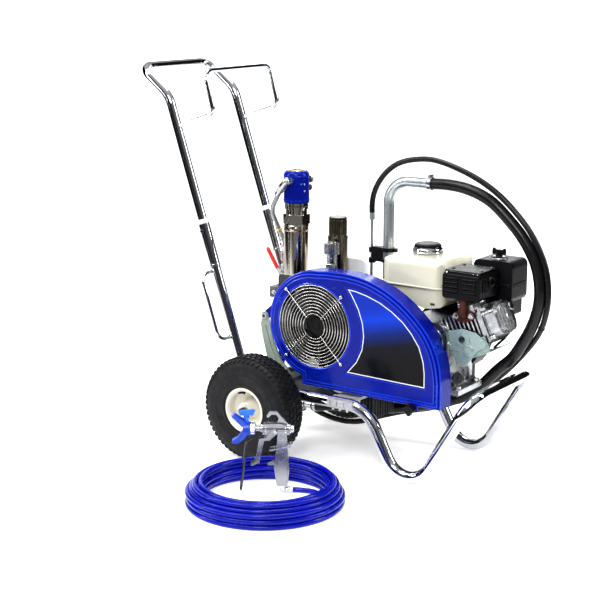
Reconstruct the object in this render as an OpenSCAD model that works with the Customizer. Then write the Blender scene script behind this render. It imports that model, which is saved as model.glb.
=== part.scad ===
// Petrol driven hydraulic airless paint sprayer on a two-wheeled cart,
// with its belt guard, suction set, spray hose and gun.
// Millimetres. +X runs from the handle to the front legs, -Y is the belt side, +Z is up.

/* [Cart] */
// Outside diameter of the bent leg tube
leg_tube_d = 31.75; // [30:0.25:33]
// Wall of the bent leg tube
leg_tube_wall = 1.6; // [1.2:0.1:2.5]
// Distance from the mid-plane to each leg tube
leg_y = 164; // [160:1:168]
// Height of the side rails above the floor
rail_z = 176; // [173:1:179]
// Bend radius at the foot of each leg
foot_bend_r = 69; // [66:1:72]
// Steel gauge of the deck
deck_t = 4; // [3:0.5:6]

/* [Wheels] */
// Tyre outside diameter
tyre_d = 281; // [276:1:284]
// Tyre section width
tyre_w = 91; // [88:1:91]
// Distance from the mid-plane to the middle of each tyre
wheel_y = 227; // [226.5:0.5:229]
// Rim flange diameter
rim_d = 120; // [112:1:128]
// Axle diameter
axle_d = 19; // [16:0.5:20]

/* [Handle] */
// Distance from the mid-plane to each upright
handle_y = 145; // [140:1:148]
// Diameter of the sliding upper tube
handle_d = 25.4; // [24:0.2:26]
// Height of the collars where the upper tube enters the lower one
collar_z = 598; // [590:1:606]
// Diameter of the hose hook rod
hook_d = 13; // [12:0.5:14]

/* [Belt guard] */
// Outer radius of the round end of the guard
guard_r = 145; // [143:1:147]
// Radius of the fan opening
fan_open_r = 111; // [109:1:113]
// Depth of the guard's rim
guard_depth = 60; // [56:1:62]
// Sheet thickness of the guard
guard_t = 2.5; // [2:0.1:3]
// Number of wire rings in the grille
grille_rings = 10; // [8:1:11]

/* [Drive] */
// Pitch radius of the fan pulley
fan_pulley_r = 100; // [98:1:101]
// Pitch radius of the engine pulley
engine_pulley_r = 38; // [36:1:40]
// Number of fan blades
fan_blades = 8; // [6:1:10]

/* [Hydraulic motor and pump] */
// Outside diameter of the motor cylinder
motor_d = 69; // [66:1:70]
// Bore of the motor cylinder
motor_bore_d = 50; // [46:1:54]
// Diameter of the piston rod
rod_d = 22; // [20:1:24]
// Stroke of the piston rod to either side of its middle
stroke_half = 28; // [20:1:30]

/* [Engine] */
// Number of cooling fins on the cylinder
fin_count = 9; // [7:1:9]
// Slope of the cylinder above the horizontal, in degrees
cyl_slope = 25; // [24:1:26]

/* [Hoses] */
// Outside diameter of the spray hose
spray_hose_d = 13; // [12:0.5:13.5]
// Outside diameter of the suction hose
suction_hose_d = 30; // [28:0.5:31]
// Outside diameter of the drain hose
drain_hose_d = 15; // [13:0.5:15.5]
// Height of the coiled hose
coil_h = 66; // [60:1:70]
// Outer radius of the coiled hose
coil_r = 197; // [192:1:198]
// Inner radius of the coiled hose
coil_in_r = 152; // [150:1:156]

/* [Hidden] */
$fn = 48;

// the origin sits under the middle of the whole object's outline
shift = [-108.17, 97.52, 0];

axle_x = -22;
axle_z = tyre_d / 2;
leg_r = leg_tube_d / 2;
fan = [118, 364];          // fan axis, X and Z
crank = [400, 334];        // crankshaft axis, X and Z
motor = [-70, 40];         // hydraulic motor and pump axis, X and Y
hinge = [-80, 355];        // guard hinge axis, X and Z
face_y = -150;             // outside face of the guard
belt_y = -106;             // middle of the V-belt
deck_z = 220;              // top of the deck
hs = [-0.31623, 0.94868];  // direction of the uprights, X and Z
function up_x(z) = -131 - (z - 248) / 3;   // X of an upright's axis at height z
guard_x = [60, 118, 175, 227, 280, 330, 375, 415, 450, 474, 489, 495];
guard_z = [482, 507.5, 512, 511, 502, 484, 459, 428, 392, 354, 312, 268];

// ---------- helpers ----------
module cy(r, y0, y1, x, z) translate([x, y0, z]) rotate([-90, 0, 0]) cylinder(r = r, h = y1 - y0);
module cx(r, x0, x1, y, z) translate([x0, y, z]) rotate([0, 90, 0]) cylinder(r = r, h = x1 - x0);
module cz(r, z0, z1, x, y) translate([x, y, z0]) cylinder(r = r, h = z1 - z0);
module bx(x0, x1, y0, y1, z0, z1) translate([x0, y0, z0]) cube([x1 - x0, y1 - y0, z1 - z0]);
module rod(p, q, r) {
  d = q - p; l = norm(d);
  translate(p) rotate([0, acos(d[2] / l), atan2(d[1], d[0])]) cylinder(r = r, h = l);
}
function unit(v) = v / norm(v);
function turn_a(u, v) = acos(max(-1, min(1, u * v)));
// a bent round rod through corner points, with one bend radius for each corner
module bent(p, rr, r) {
  n = len(p);
  t = [for (i = [0:n - 1]) i == 0 || i == n - 1 ? 0
        : rr[i - 1] * tan(turn_a(unit(p[i] - p[i - 1]), unit(p[i + 1] - p[i])) / 2)];
  // the straight lengths run half a millimetre into the bends, a tenth thinner than them
  for (i = [0:n - 2]) {
    u = unit(p[i + 1] - p[i]);
    rod(p[i] + u * (t[i] - (i == 0 ? 0 : 0.5)), p[i + 1] - u * (t[i + 1] - (i == n - 2 ? 0 : 0.5)), r - 0.1);
  }
  for (i = [1:n - 2]) {
    u = unit(p[i] - p[i - 1]); v = unit(p[i + 1] - p[i]);
    a = turn_a(u, v);
    w = unit(v - u * (u * v));
    s = p[i] - u * t[i]; c = s + w * rr[i - 1];
    x = -w; z = cross(x, u);
    multmatrix([[x[0], u[0], z[0], c[0]], [x[1], u[1], z[1], c[1]], [x[2], u[2], z[2], c[2]], [0, 0, 0, 1]])
      rotate_extrude(angle = a) translate([rr[i - 1], 0]) circle(r = r);
  }
}
// smooth curve through route points
function cr(a, b, c, d, t) = 0.5 * ((2 * b) + (c - a) * t + (2 * a - 5 * b + 4 * c - d) * t * t + (3 * b - a - 3 * c + d) * t * t * t);
function route(p, k) = [for (i = [0:len(p) - 2]) for (j = [0:k - 1])
    cr(p[max(0, i - 1)], p[i], p[i + 1], p[min(len(p) - 1, i + 2)], j / k), p[len(p) - 1]];
function tang(p) = [for (i = [0:len(p) - 1]) unit(p[min(len(p) - 1, i + 1)] - p[max(0, i - 1)])];
function carry(t, s, i) = i == 0 ? [s] : let (f = carry(t, s, i - 1), l = f[len(f) - 1]) concat(f, [unit(l - t[i] * (l * t[i]))]);
// a round tube of n sides along a list of points
module sweep(p, r, n = 10) {
  t = tang(p); m = len(p);
  s0 = abs(t[0][2]) < 0.9 ? [0, 0, 1] : [0, 1, 0];
  f = carry(t, unit(s0 - t[0] * (s0 * t[0])), m - 1);
  v = [for (i = [0:m - 1]) let (b = cross(t[i], f[i])) for (k = [0:n - 1])
        p[i] + r * (cos(k * 360 / n) * f[i] + sin(k * 360 / n) * b)];
  q = concat([[for (k = [0:n - 1]) k]],
    [for (i = [0:m - 2]) for (k = [0:n - 1]) [i * n + k, (i + 1) * n + k, (i + 1) * n + (k + 1) % n]],
    [for (i = [0:m - 2]) for (k = [0:n - 1]) [i * n + k, (i + 1) * n + (k + 1) % n, i * n + (k + 1) % n]],
    [[for (k = [n - 1:-1:0]) (m - 1) * n + k]]);
  polyhedron(points = v, faces = q, convexity = 8);
}
// rounded rectangle with exact arcs, centred
module rr2(w, h, r) {
  square([w - 2 * r, h], center = true);
  square([w, h - 2 * r], center = true);
  for (i = [-1, 1], j = [-1, 1]) translate([i * (w / 2 - r), j * (h / 2 - r)]) circle(r = r);
}
module hexz(af, z0, z1, x, y) translate([x, y, z0]) rotate([0, 0, 30]) cylinder(r = af / sqrt(3), h = z1 - z0, $fn = 6);
module hexy(af, y0, y1, x, z) translate([x, y0, z]) rotate([-90, 0, 0]) cylinder(r = af / sqrt(3), h = y1 - y0, $fn = 6);

// ---------- cart ----------
leg_pts = [[-62, -leg_y, rail_z], [293, -leg_y, rail_z], [416.6, -leg_y, 15.9 - 1.051 * foot_bend_r],
  [593, -leg_y, 246], [593, leg_y, 246], [416.6, leg_y, 15.9 - 1.051 * foot_bend_r], [293, leg_y, rail_z], [-62, leg_y, rail_z]];
leg_rr = [90, foot_bend_r, 58, 58, foot_bend_r, 90];
module leg_frame() color("gainsboro") difference() {
  bent(leg_pts, leg_rr, leg_r);
  bent(concat([leg_pts[0] - [2, 0, 0]], [for (i = [1:6]) leg_pts[i]], [leg_pts[7] - [2, 0, 0]]), leg_rr, leg_r - leg_tube_wall);
}
module axle() color("dimgray") {
  cy(axle_d / 2, -wheel_y - 47, wheel_y + 47, axle_x, axle_z);
  // ends turned down for the push-on caps
  cy(axle_d / 2 - 0.5, -wheel_y - 55, wheel_y + 55, axle_x, axle_z);
}
module fasteners() color("silver") {
  for (s = [-1, 1]) {
    // washers that keep the wheels on
    difference() {
      cy(17, s < 0 ? -wheel_y - 46.6 : wheel_y + 43.6, s < 0 ? -wheel_y - 43.6 : wheel_y + 46.6, axle_x, axle_z);
      cy(axle_d / 2, -290, 290, axle_x, axle_z);
    }
    // clamp bolts
    for (x = [201, 222, 244]) hexz(6, rail_z - 15, rail_z - 9, x, s * (leg_y + 17.2));
  }
  // guard hinge pin
  cy(5, -99, -84, hinge[0], hinge[1]);
  cy(9, -101, -99, hinge[0], hinge[1]);
  // engine mounting bolts
  for (x = [305, 495], y = [-52, 44]) hexz(13, 233, 241, x, y);
  // worm clamp round the suction hose
  difference() {
    cx(suction_hose_d / 2 + 2.2, 334, 345, 60, 733);
    cx(suction_hose_d / 2 + 0.5, 332, 346, 60, 733);
  }
  // swivel elbow under the gun's handle
  at_gun() {
    translate([-1, 0, 5]) cylinder(r = 8.5, h = 8.95);
    translate([-1, 0, 8.2]) rotate([0, -90, 0]) cylinder(r = 5.7, h = 24);
    translate([-12, 0, 8.2]) rotate([0, -90, 0]) cylinder(r = 7.5, h = 13);
  }
  translate([339.5, 60, 733 + suction_hose_d / 2 + 4.5]) rotate([90, 0, 0]) cylinder(r = 4, h = 16, center = true);
}
// side sheet with round-ended legs that carries the deck on the rails
module deck() color([0.16, 0.16, 0.17]) difference() {
  union() {
    bx(-8, 430, -88, 148, deck_z - deck_t, deck_z);
    // tongue under the engine's front feet
    bx(429, 500, -66, 56, deck_z - deck_t, deck_z);
    for (y = [-88, 148 - deck_t]) bx(-8, 430, y, y + deck_t, deck_z - 30, deck_z - deck_t + 1);
    // rear channel resting on the rails, and a cross channel under the engine's rear feet
    bx(20, 60, -168, 168, deck_z - 40, deck_z - deck_t + 1);
    bx(296, 330, -87, 147, deck_z - 24, deck_z - deck_t + 1);
    // axle beam with its saddles, and the sockets of the uprights
    bx(axle_x - 16, axle_x + 16, -172, 172, axle_z - 16, axle_z + 16);
    for (s = [-1, 1]) {
      bx(axle_x - 14, axle_x + 14, s * leg_y - 8, s * leg_y + 8, axle_z + 12, rail_z - 2);
      bx(-44, 44, s * 141 - 6, s * 141 + 6, axle_z - 16, deck_z - 39);
      bx(-108, -38, s * 125 - 5, s * 125 + 5, 118, 178);
      bx(-44, -36, s < 0 ? -141 : 120, s < 0 ? -120 : 141, 125, 172);
      rod(hp(s, 120), hp(s, 176), lo_r + 3.2);
    }
  }
  cy(axle_d / 2 + 0.06, -300, 300, axle_x, axle_z);
  for (s = [-1, 1]) {
    bent([for (i = [0:3]) [leg_pts[i][0] - (i == 0 ? 10 : 0), s * leg_y, leg_pts[i][2]]], [90, foot_bend_r], leg_r + 0.02);
    rod(hp(s, 110), hp(s, 190), lo_r + 0.04);
  }
  // hollow of the rear channel
  bx(21.5, 58.5, -140, 140, deck_z - 41, deck_z - deck_t - 3);
}
module tube_clamps() color("lightgray") for (s = [-1, 1]) difference() {
  union() {
    bx(183, 260, s * leg_y - 20, s * leg_y + 20, rail_z - 9, rail_z + 14);
    bx(190, 254, s * leg_y + (s < 0 ? 4 : -84), s * leg_y + (s < 0 ? 84 : -4), rail_z + 7, deck_z - 30);
  }
  bent([for (i = [0:2]) [leg_pts[i][0], s * leg_y, leg_pts[i][2]]], [90], leg_r + 0.02);
  for (x = [187, 207, 229]) bx(x + 4, x + 14, s * leg_y + (s < 0 ? -21 : 17.5), s * leg_y + (s < 0 ? -17.5 : 21), rail_z - 5, rail_z + 9);
}

// ---------- handle ----------
hi_r = handle_d / 2;
lo_r = 14.4;
function hp(s, z) = [up_x(z), s * handle_y, z];
module lower_uprights() color("silver") for (s = [-1, 1]) {
  difference() {
    union() {
      rod(hp(s, 122), hp(s, collar_z - 2), lo_r);
      rod(hp(s, 484), hp(s, collar_z - 0.05), 15.9);
      // spring buttons that lock the upper tube
      cy(4, s < 0 ? -handle_y - 18.5 : handle_y + 12, s < 0 ? -handle_y - 12 : handle_y + 18.5, up_x(collar_z - 18), collar_z - 18);
    }
    rod(hp(s, 110), hp(s, collar_z + 5), hi_r + 0.06);
  }
  // hose loop welded to the outer side
  bent([hp(s, 474) + [0, s * 13.6, 0], hp(s, 474) + [0, s * 66, 0], hp(s, 300) + [0, s * 66, 0], hp(s, 300) + [0, s * 13.6, 0]], [26, 26], 5);
}
module upright_collars() color("white") for (s = [-1, 1]) difference() {
  rod(hp(s, collar_z), hp(s, collar_z + 12), 18.5);
  rod(hp(s, collar_z - 5), hp(s, collar_z + 20), hi_r + 0.06);
}
module upper_handle() color("gainsboro") {
  difference() {
    bent([hp(-1, collar_z - 95), hp(-1, 938), [-459, -handle_y, 1013], [-459, handle_y, 1013], hp(1, 938), hp(1, collar_z - 95)],
      [75, 42, 42, 75], hi_r);
    bent([hp(-1, collar_z - 97), hp(-1, 938), [-459, -handle_y, 1013], [-459, handle_y, 1013], hp(1, 938), hp(1, collar_z - 97)],
      [75, 42, 42, 75], hi_r - 1.5);
  }
  // hose hook between the uprights
  hk = unit([-206, 0, 898] - [up_x(857), 0, 857]);
  bent([hp(-1, 857) + 12 * hk, [-206, -handle_y, 898], [-239, -handle_y, 1010], [-239, handle_y, 1010], [-206, handle_y, 898], hp(1, 857) + 12 * hk],
    [26, 26, 26, 26], hook_d / 2);
}

// ---------- wheels ----------
module at_wheel(s) translate([axle_x, s * wheel_y, axle_z]) rotate([s < 0 ? 90 : -90, 0, 0]) children();
module rim(s) color("ivory") at_wheel(s) difference() {
  rotate_extrude() polygon([[axle_d / 2 + 0.08, -44], [17, -44], [17, -20], [30, -14], [42, 6], [50, 10], [50, -38], [56, -42], [rim_d / 2, -43], [rim_d / 2, -40], [54, -36],
    [53, 14], [53, 36], [rim_d / 2, 40], [rim_d / 2, 43], [54, 42], [50, 36], [50, 16], [40, 12], [30, 2], [20, 18], [20, 43], [axle_d / 2 + 0.08, 43]]);
}
function tp(a, rx, rz) = [rx * cos(a), rz * sin(a)];
module tyre(s) color([0.12, 0.12, 0.12]) at_wheel(s) difference() {
  rotate_extrude() polygon([[rim_d / 2, -39.9], [rim_d / 2 + 6, -42], [86, 1.5 - tyre_w / 2], [104, -tyre_w / 2], [120, 2 - tyre_w / 2], [130, -38], [137, -30], [tyre_d / 2, -19], [tyre_d / 2, 19],
    [137, 30], [130, 38], [120, tyre_w / 2 - 2], [104, tyre_w / 2], [86, tyre_w / 2 - 1.5], [rim_d / 2 + 6, 42], [rim_d / 2, 39.9], [54.1, 35.9], [54.1, -35.9]]);
  // circumferential grooves of the tread
  for (z = [-20, 0, 20]) rotate_extrude() translate([tyre_d / 2 - 4, z - 1.5]) square([8, 3]);
}
module near_rim() rim(-1);
module far_rim() rim(1);
module near_tyre() tyre(-1);
module far_tyre() tyre(1);

// ---------- belt guard ----------
gtop = route([for (i = [0:len(guard_x) - 1]) [guard_x[i], guard_z[i], 0]], 4);
// the round end and the long body of the outline, pulled in by d all round
function inset(p, d) = [for (i = [0:len(p) - 1]) let (a = p[(i + len(p) - 1) % len(p)], b = p[i], c = p[(i + 1) % len(p)],
    u = unit(b - a), v = unit(c - b), n1 = [-u[1], u[0]], n2 = [-v[1], v[0]], m = unit(n1 + n2)) b + m * d / max(0.5, m * n1)];
body_line = concat([[495, 100]], [for (i = [len(gtop) - 1:-1:0]) [gtop[i][0], gtop[i][1]]], [[60, 100]]);
module layer(y0, y1, d) {
  cy(guard_r - d, y0, y1, fan[0], fan[1]);
  intersection() {
    translate([0, y1, 0]) rotate([90, 0, 0]) linear_extrude(y1 - y0) polygon(inset(body_line, d));
    bx(77 + d, 700, y0 - 1, y1 + 1, 200 + d, 700);
  }
}
module belt_guard() color([0.05, 0.12, 0.62]) difference() {
  union() {
    difference() {
      union() {
        layer(face_y, face_y + 4, 15);
        layer(face_y + 3, face_y + 9, 7);
        layer(face_y + 8, face_y + guard_depth, 0);
      }
      layer(face_y + guard_t, face_y + 12, 17.5);
      layer(face_y + 6, face_y + 12, 9.5);
      layer(face_y + 11, face_y + guard_depth + 1, guard_t);
      // the rim is left off along the bottom and the lower left, so the guard swings clear of the fan
      bx(-60, 480, face_y + 10, face_y + guard_depth + 1, 180, 372);
      bx(-60, 90, face_y + 10, face_y + guard_depth + 1, 180, 388);
    }
    // hinge ear
    cy(12, -92, -88, hinge[0], hinge[1]);
    translate([0, -88, 0]) rotate([90, 0, 0]) linear_extrude(4)
      polygon([[hinge[0] - 4, hinge[1] + 11.3], [hinge[0] + 9, hinge[1] - 7.9], [-20, 389], [-12, 425], [-20, 421]]);
    // tab for the knob
    bx(404, 430, face_y + 5, face_y + 9, 184, 206);
  }
  cy(5.06, -93, -87, hinge[0], hinge[1]);
  cy(fan_open_r, face_y - 1, face_y + 20, fan[0], fan[1]);
  cy(4.06, face_y - 1, face_y + 20, 417, 193);
}
wire_r = 1.4;
module ring(R, y) translate([fan[0], y, fan[1]]) rotate([90, 0, 0]) rotate_extrude() translate([R, 0]) circle(r = wire_r, $fn = 20);
module fan_grille() color("silver") {
  step = (fan_open_r - 35.3) / (grille_rings - 1);
  for (i = [0:grille_rings - 1]) ring(33.5 + i * step, face_y + 1.1);
  for (a = [46, 134, 226, 314]) translate([fan[0], 0, fan[1]]) rotate([0, -a, 0]) {
    translate([31, face_y - 1.45, 0]) rotate([0, 90, 0]) cylinder(r = wire_r, h = 89);
    translate([124, face_y - 3.4, 0]) rotate([-90, 0, 0]) cylinder(r = 5, h = 3.4);
  }
}
module guard_knob() color([0.06, 0.06, 0.06]) {
  difference() {
    cy(15, face_y - 18, face_y - 4, 417, 193);
    for (i = [0:5]) translate([417, 0, 193]) rotate([0, i * 60, 0]) translate([17.5, face_y - 19, 0]) rotate([-90, 0, 0]) cylinder(r = 5, h = 16);
  }
  cy(9, face_y - 5, face_y + 4.7, 417, 193);
  cy(4, face_y + 4, face_y + 12, 417, 193);
}
module guard_bracket() color([0.55, 0.63, 0.58]) difference() {
  union() {
    translate([0, -93, 0]) rotate([90, 0, 0]) linear_extrude(4) union() {
      translate(hinge) circle(r = 12);
      polygon([[hinge[0] - 11.9, hinge[1] - 2], [hinge[0] + 11, hinge[1] + 5], [-52, 290], [-26, 240], [10, 205], [10, 168], [-66, 168], [-72, 240], [-88, 300]]);
    }
    // flange stiffening the left edge
    translate([0, -85, 0]) rotate([90, 0, 0]) linear_extrude(12)
      polygon([[-94, 338], [-91, 338], [-85, 300], [-69, 240], [-63, 168], [-66, 168], [-72, 240], [-88, 300]]);
    // foot under the deck
    bx(-66, 10, -119.9, -93, 168, 172);
  }
  cy(5, -98, -80, hinge[0], hinge[1]);
  bx(-8.2, 20, -88.2, -84, 175, 230);
}

// ---------- drive ----------
module sheave(r, x, z) {
  cy(r - 4, belt_y - 7, belt_y + 7, x, z);
  cy(r + 2, belt_y - 11, belt_y - 7, x, z);
  cy(r + 2, belt_y + 7, belt_y + 11, x, z);
}
module fan_pulley() color([0.12, 0.12, 0.13]) difference() {
  union() {
    difference() {
      sheave(fan_pulley_r, fan[0], fan[1]);
      cy(fan_pulley_r - 12, belt_y - 12, belt_y - 2, fan[0], fan[1]);
      cy(fan_pulley_r - 12, belt_y + 3, belt_y + 12, fan[0], fan[1]);
      for (i = [0:5]) translate([fan[0], 0, fan[1]]) rotate([0, i * 60, 0]) cy(17, belt_y - 12, belt_y + 12, 56, 0);
    }
    cy(24, face_y + 12, belt_y + 10, fan[0], fan[1]);
    cy(31, face_y + 14, face_y + 20, fan[0], fan[1]);
    for (i = [0:fan_blades - 1]) translate([fan[0], -127, fan[1]]) rotate([0, i * 360 / fan_blades, 0])
      translate([22, 0, 0]) rotate([38, 0, 0]) translate([0, -1.2, -17]) cube([78, 2.4, 34]);
    // spokes carrying the blades to the rim
    cy(fan_pulley_r - 4, belt_y - 13, belt_y - 10.5, fan[0], fan[1]);
  }
  cy(10.06, face_y, belt_y + 30, fan[0], fan[1]);
  difference() { cy(fan_pulley_r - 12, belt_y - 14, belt_y - 10, fan[0], fan[1]); cy(32, belt_y - 14, belt_y - 10, fan[0], fan[1]); }
}
module engine_pulley() color([0.3, 0.3, 0.31]) {
  sheave(engine_pulley_r, crank[0], crank[1]);
  cy(18, belt_y - 26, belt_y + 13, crank[0], crank[1]);
  cy(9.5, belt_y - 30, -52, crank[0], crank[1]);
}
// belt loop: arcs round both sheaves joined by their outer tangents
belt_d = crank - fan;
belt_a = atan2(belt_d[1], belt_d[0]);
module belt_area(r1, r2, w) {
  k = acos((r1 - r2) / norm(belt_d));
  e1 = [cos(belt_a + k), sin(belt_a + k)]; e2 = [cos(belt_a - k), sin(belt_a - k)];
  cy(r1, belt_y - w, belt_y + w, fan[0], fan[1]);
  cy(r2, belt_y - w, belt_y + w, crank[0], crank[1]);
  translate([0, belt_y + w, 0]) rotate([90, 0, 0]) linear_extrude(2 * w)
    polygon([fan + e1 * (r1 - 0.03), crank + e1 * (r2 - 0.03), crank + e2 * (r2 - 0.03), fan + e2 * (r1 - 0.03)]);
}
module v_belt() color([0.1, 0.1, 0.1]) difference() {
  belt_area(fan_pulley_r + 4, engine_pulley_r + 4, 6.5);
  belt_area(fan_pulley_r - 3.7, engine_pulley_r - 3.7, 7);
}

// ---------- hydraulic side ----------
module hydraulic_pump() color([0.2, 0.2, 0.21]) {
  cy(45, -78, 6, fan[0], fan[1]);
  cy(30, -84, -78, fan[0], fan[1]);
  cy(10, face_y + 11, -84, fan[0], fan[1]);
  for (x = [fan[0] - 38, fan[0] + 30]) bx(x, x + 8, -70, -10, deck_z, fan[1] - 20);
  bx(fan[0] - 44, fan[0] + 44, -70, -10, deck_z, deck_z + 6);
}
module oil_cooler() color([0.07, 0.07, 0.07]) {
  bx(216, 252, -56, 30, 114, deck_z - deck_t);
  for (i = [0:7]) bx(212, 256, -58 + i * 12, -54 + i * 12, 112, 208);
  for (i = [0:3]) bx(217 + i * 10, 221 + i * 10, -64, 34, 112, 208);
}
module oil_reservoir() color([0.9, 0.94, 0.96]) difference() {
  union() {
    intersection() {
      translate([85, 122, deck_z]) linear_extrude(282) rr2(80, 56, 14);
      translate([0, 160, 0]) rotate([90, 0, 0]) linear_extrude(80) translate([85, deck_z + 136]) rr2(80, 290, 22);
    }
    cz(16, 490, 503, 85, 122);
  }
  intersection() {
    translate([85, 122, deck_z + 4]) linear_extrude(270) rr2(74, 50, 11);
    translate([0, 160, 0]) rotate([90, 0, 0]) linear_extrude(80) translate([85, deck_z + 138]) rr2(74, 272, 18);
  }
}
module at_ports() translate([motor[0], motor[1], 0]) rotate([0, 0, 50]) children();
module motor_cap() color([0.05, 0.14, 0.62]) {
  difference() {
    translate([motor[0], motor[1], 0]) rotate_extrude() polygon([[0, 650], [motor_d / 2 + 1, 650], [motor_d / 2 + 1, 726], [motor_d / 2 - 1, 732], [motor_d / 2 - 6, 737], [0, 737]]);
    cz(12, 733, 745, motor[0], motor[1]);
    // ports of the lines
    cy(10.04, -10, 12, -66, 713);
    at_ports() { cx(7.04, 30, 50, 0, 712); cx(6.04, 30, 50, 0, 690); }
  }
}
module motor_cylinder() color([0.7, 0.68, 0.62]) difference() {
  union() {
    cz(motor_d / 2, 410, 592, motor[0], motor[1]);
    hexz(64, 591, 618, motor[0], motor[1]);
    cz(30, 617, 634, motor[0], motor[1]);
    cz(33, 633, 650, motor[0], motor[1]);
  }
  cz(motor_bore_d / 2, 414, 583, motor[0], motor[1]);
  cz(rod_d / 2 + 0.06, 400, 420, motor[0], motor[1]);
}
pump_top = 372 - 2 * stroke_half;   // the jam nut travels between this and the manifold
module piston_rod() color("silver") {
  cz(motor_bore_d / 2 - 0.06, 488, 512, motor[0], motor[1]);
  cz(rod_d / 2, 170, 500, motor[0], motor[1]);
  cz(21.94, 180, 206, motor[0], motor[1]);
  hexz(36, pump_top / 2 + 187, pump_top / 2 + 193, motor[0], motor[1]);
}
module fluid_manifold() color([0.45, 0.45, 0.46]) difference() {
  union() {
    bx(-142, 92, 12, 86, 380, 410);
    bx(52, 92, -20, 14, 412, 440);
    bx(60, 92, 12, 30, 405, 440);
    bx(8, 56, 42, 60, deck_z, 381);
    bx(-4, 66, 30, 64, deck_z, deck_z + 8);
    // outlet of the spray hose, under the end
    hexz(26, 366, 381, -128, 60);
    cz(9, 352, 367, -128, 60);
    cz(13, 440, 462, 73, 0);
  }
  cz(rod_d / 2 + 2, 370, 420, motor[0], motor[1]);
  cz(20.04, 401.95, 411, 53, 60);
}
module fluid_pump() color([0.72, 0.7, 0.66]) difference() {
  union() {
    cz(30, 110, pump_top - 15, motor[0], motor[1]);
    cz(36, pump_top - 32, pump_top - 15, motor[0], motor[1]);
    hexz(56, pump_top - 16, pump_top, motor[0], motor[1]);
    for (a = [90, 180, 270]) translate([motor[0], motor[1], 0]) rotate([0, 0, a + 30]) cz(5, pump_top - 26, 380, 29.5, 0);
  }
  cz(22, 114, pump_top - 26, motor[0], motor[1]);
  cz(rod_d / 2 + 0.06, 270, 340, motor[0], motor[1]);
}
module intake_valve() color([0.7, 0.7, 0.72]) {
  hexz(60, 97, 110, motor[0], motor[1]);
  cz(27, 58, 98, motor[0], motor[1]);
  cx(16, motor[0], -38, motor[1], 80);
  cx(12, -38, -14, motor[1], 80);
}
module filter_bowl() color([0.42, 0.36, 0.28]) difference() {
  union() {
    cz(27.5, 416, 568, 53, 60);
    cz(20, 402, 416, 53, 60);
  }
  cz(20.06, 425, 570, 53, 60);
}
module filter_cap() color([0.45, 0.38, 0.3]) {
  difference() {
    cz(24, 568.3, 614, 53, 60);
    for (i = [0:23]) rotate([0, 0, 0]) translate([53, 60, 572]) rotate([0, 0, i * 15]) translate([24.6, 0, 0]) cylinder(r = 1.6, h = 36);
  }
  cz(22.5, 614, 618, 53, 60);
  cz(20, 520, 569, 53, 60);
}
module pressure_knob() color("silver") difference() {
  union() {
    cz(20, 528, 558, 73, 0);
    cz(13, 462.3, 529, 73, 0);
  }
  cz(14, 540, 560, 73, 0);
  for (i = [0:17]) translate([73, 0, 531]) rotate([0, 0, i * 20]) translate([20.8, 0, 0]) cylinder(r = 1.6, h = 24);
}
// return line from the cap to the ball valve
line_pts = [[-93, -9, 683], [-105, -7, 661], [-118, -3, 639], [-124, 4, 618], [-122, 14, 596], [-120, 25, 575], [-121, 38, 555], [-123, 49, 541]];
module hydraulic_lines() color("silver") {
  cy(10, -14, 11.9, -66, 713);
  translate([-66, -14, 713]) sphere(r = 11);
  rod([-66, -14, 713], [-82, -11, 696], 10.5);
  rod([-81.5, -11.1, 696.5], [-93, -9, 683], 8);
  sweep(route(line_pts, 3), 6.5, 10);
  rod([-122.8, 48.4, 541.8], [-123, 58, 520], 9);
  rod([-123, 57.6, 521], [-122.2, 60, 503], 12);
  cz(12.8, 498, 506, -122, 60);
  at_ports() { cx(7, 30.1, 41, 0, 712); cx(8.5, 40.5, 46, 0, 712); cx(6, 30.1, 43, 0, 690); }
}
module ball_valve() color([0.75, 0.75, 0.74]) {
  cz(10, 410, 425, -119, 60);
  cz(15, 423, 452, -119, 60);
  hexz(28, 451, 467, -119, 60);
  cz(9, 466, 480, -119, 60);
  cz(13, 478, 498, -121, 60);
  cx(10, -121, -105.2, 62, 488);
  cy(6, 40, 50, -119, 436);
}
module valve_lever() color("red") {
  difference() {
    union() {
      cy(9, 36.5, 39.7, -119, 436);
      translate([-119, 36.5, 436]) rotate([0, -122, 0]) translate([0, 0, -6]) cube([30, 3, 12]);
    }
  }
  translate([-119, 33.5, 436]) rotate([0, -122, 0]) translate([26, 0, -7]) cube([66, 6, 14]);
}
module prime_handle() color([0.1, 0.1, 0.1]) {
  cy(9, 86.3, 104, 10, 395);
  difference() { bx(-14, 34, 100, 110, 388, 402); }
}
module suction_tube() color([0.82, 0.85, 0.87]) difference() {
  bent([[214, 60, 232], [214, 60, 733], [332, 60, 733]], [62], 14.5);
  bent([[214, 60, 228], [214, 60, 733], [334, 60, 733]], [62], 12.7);
}
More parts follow.
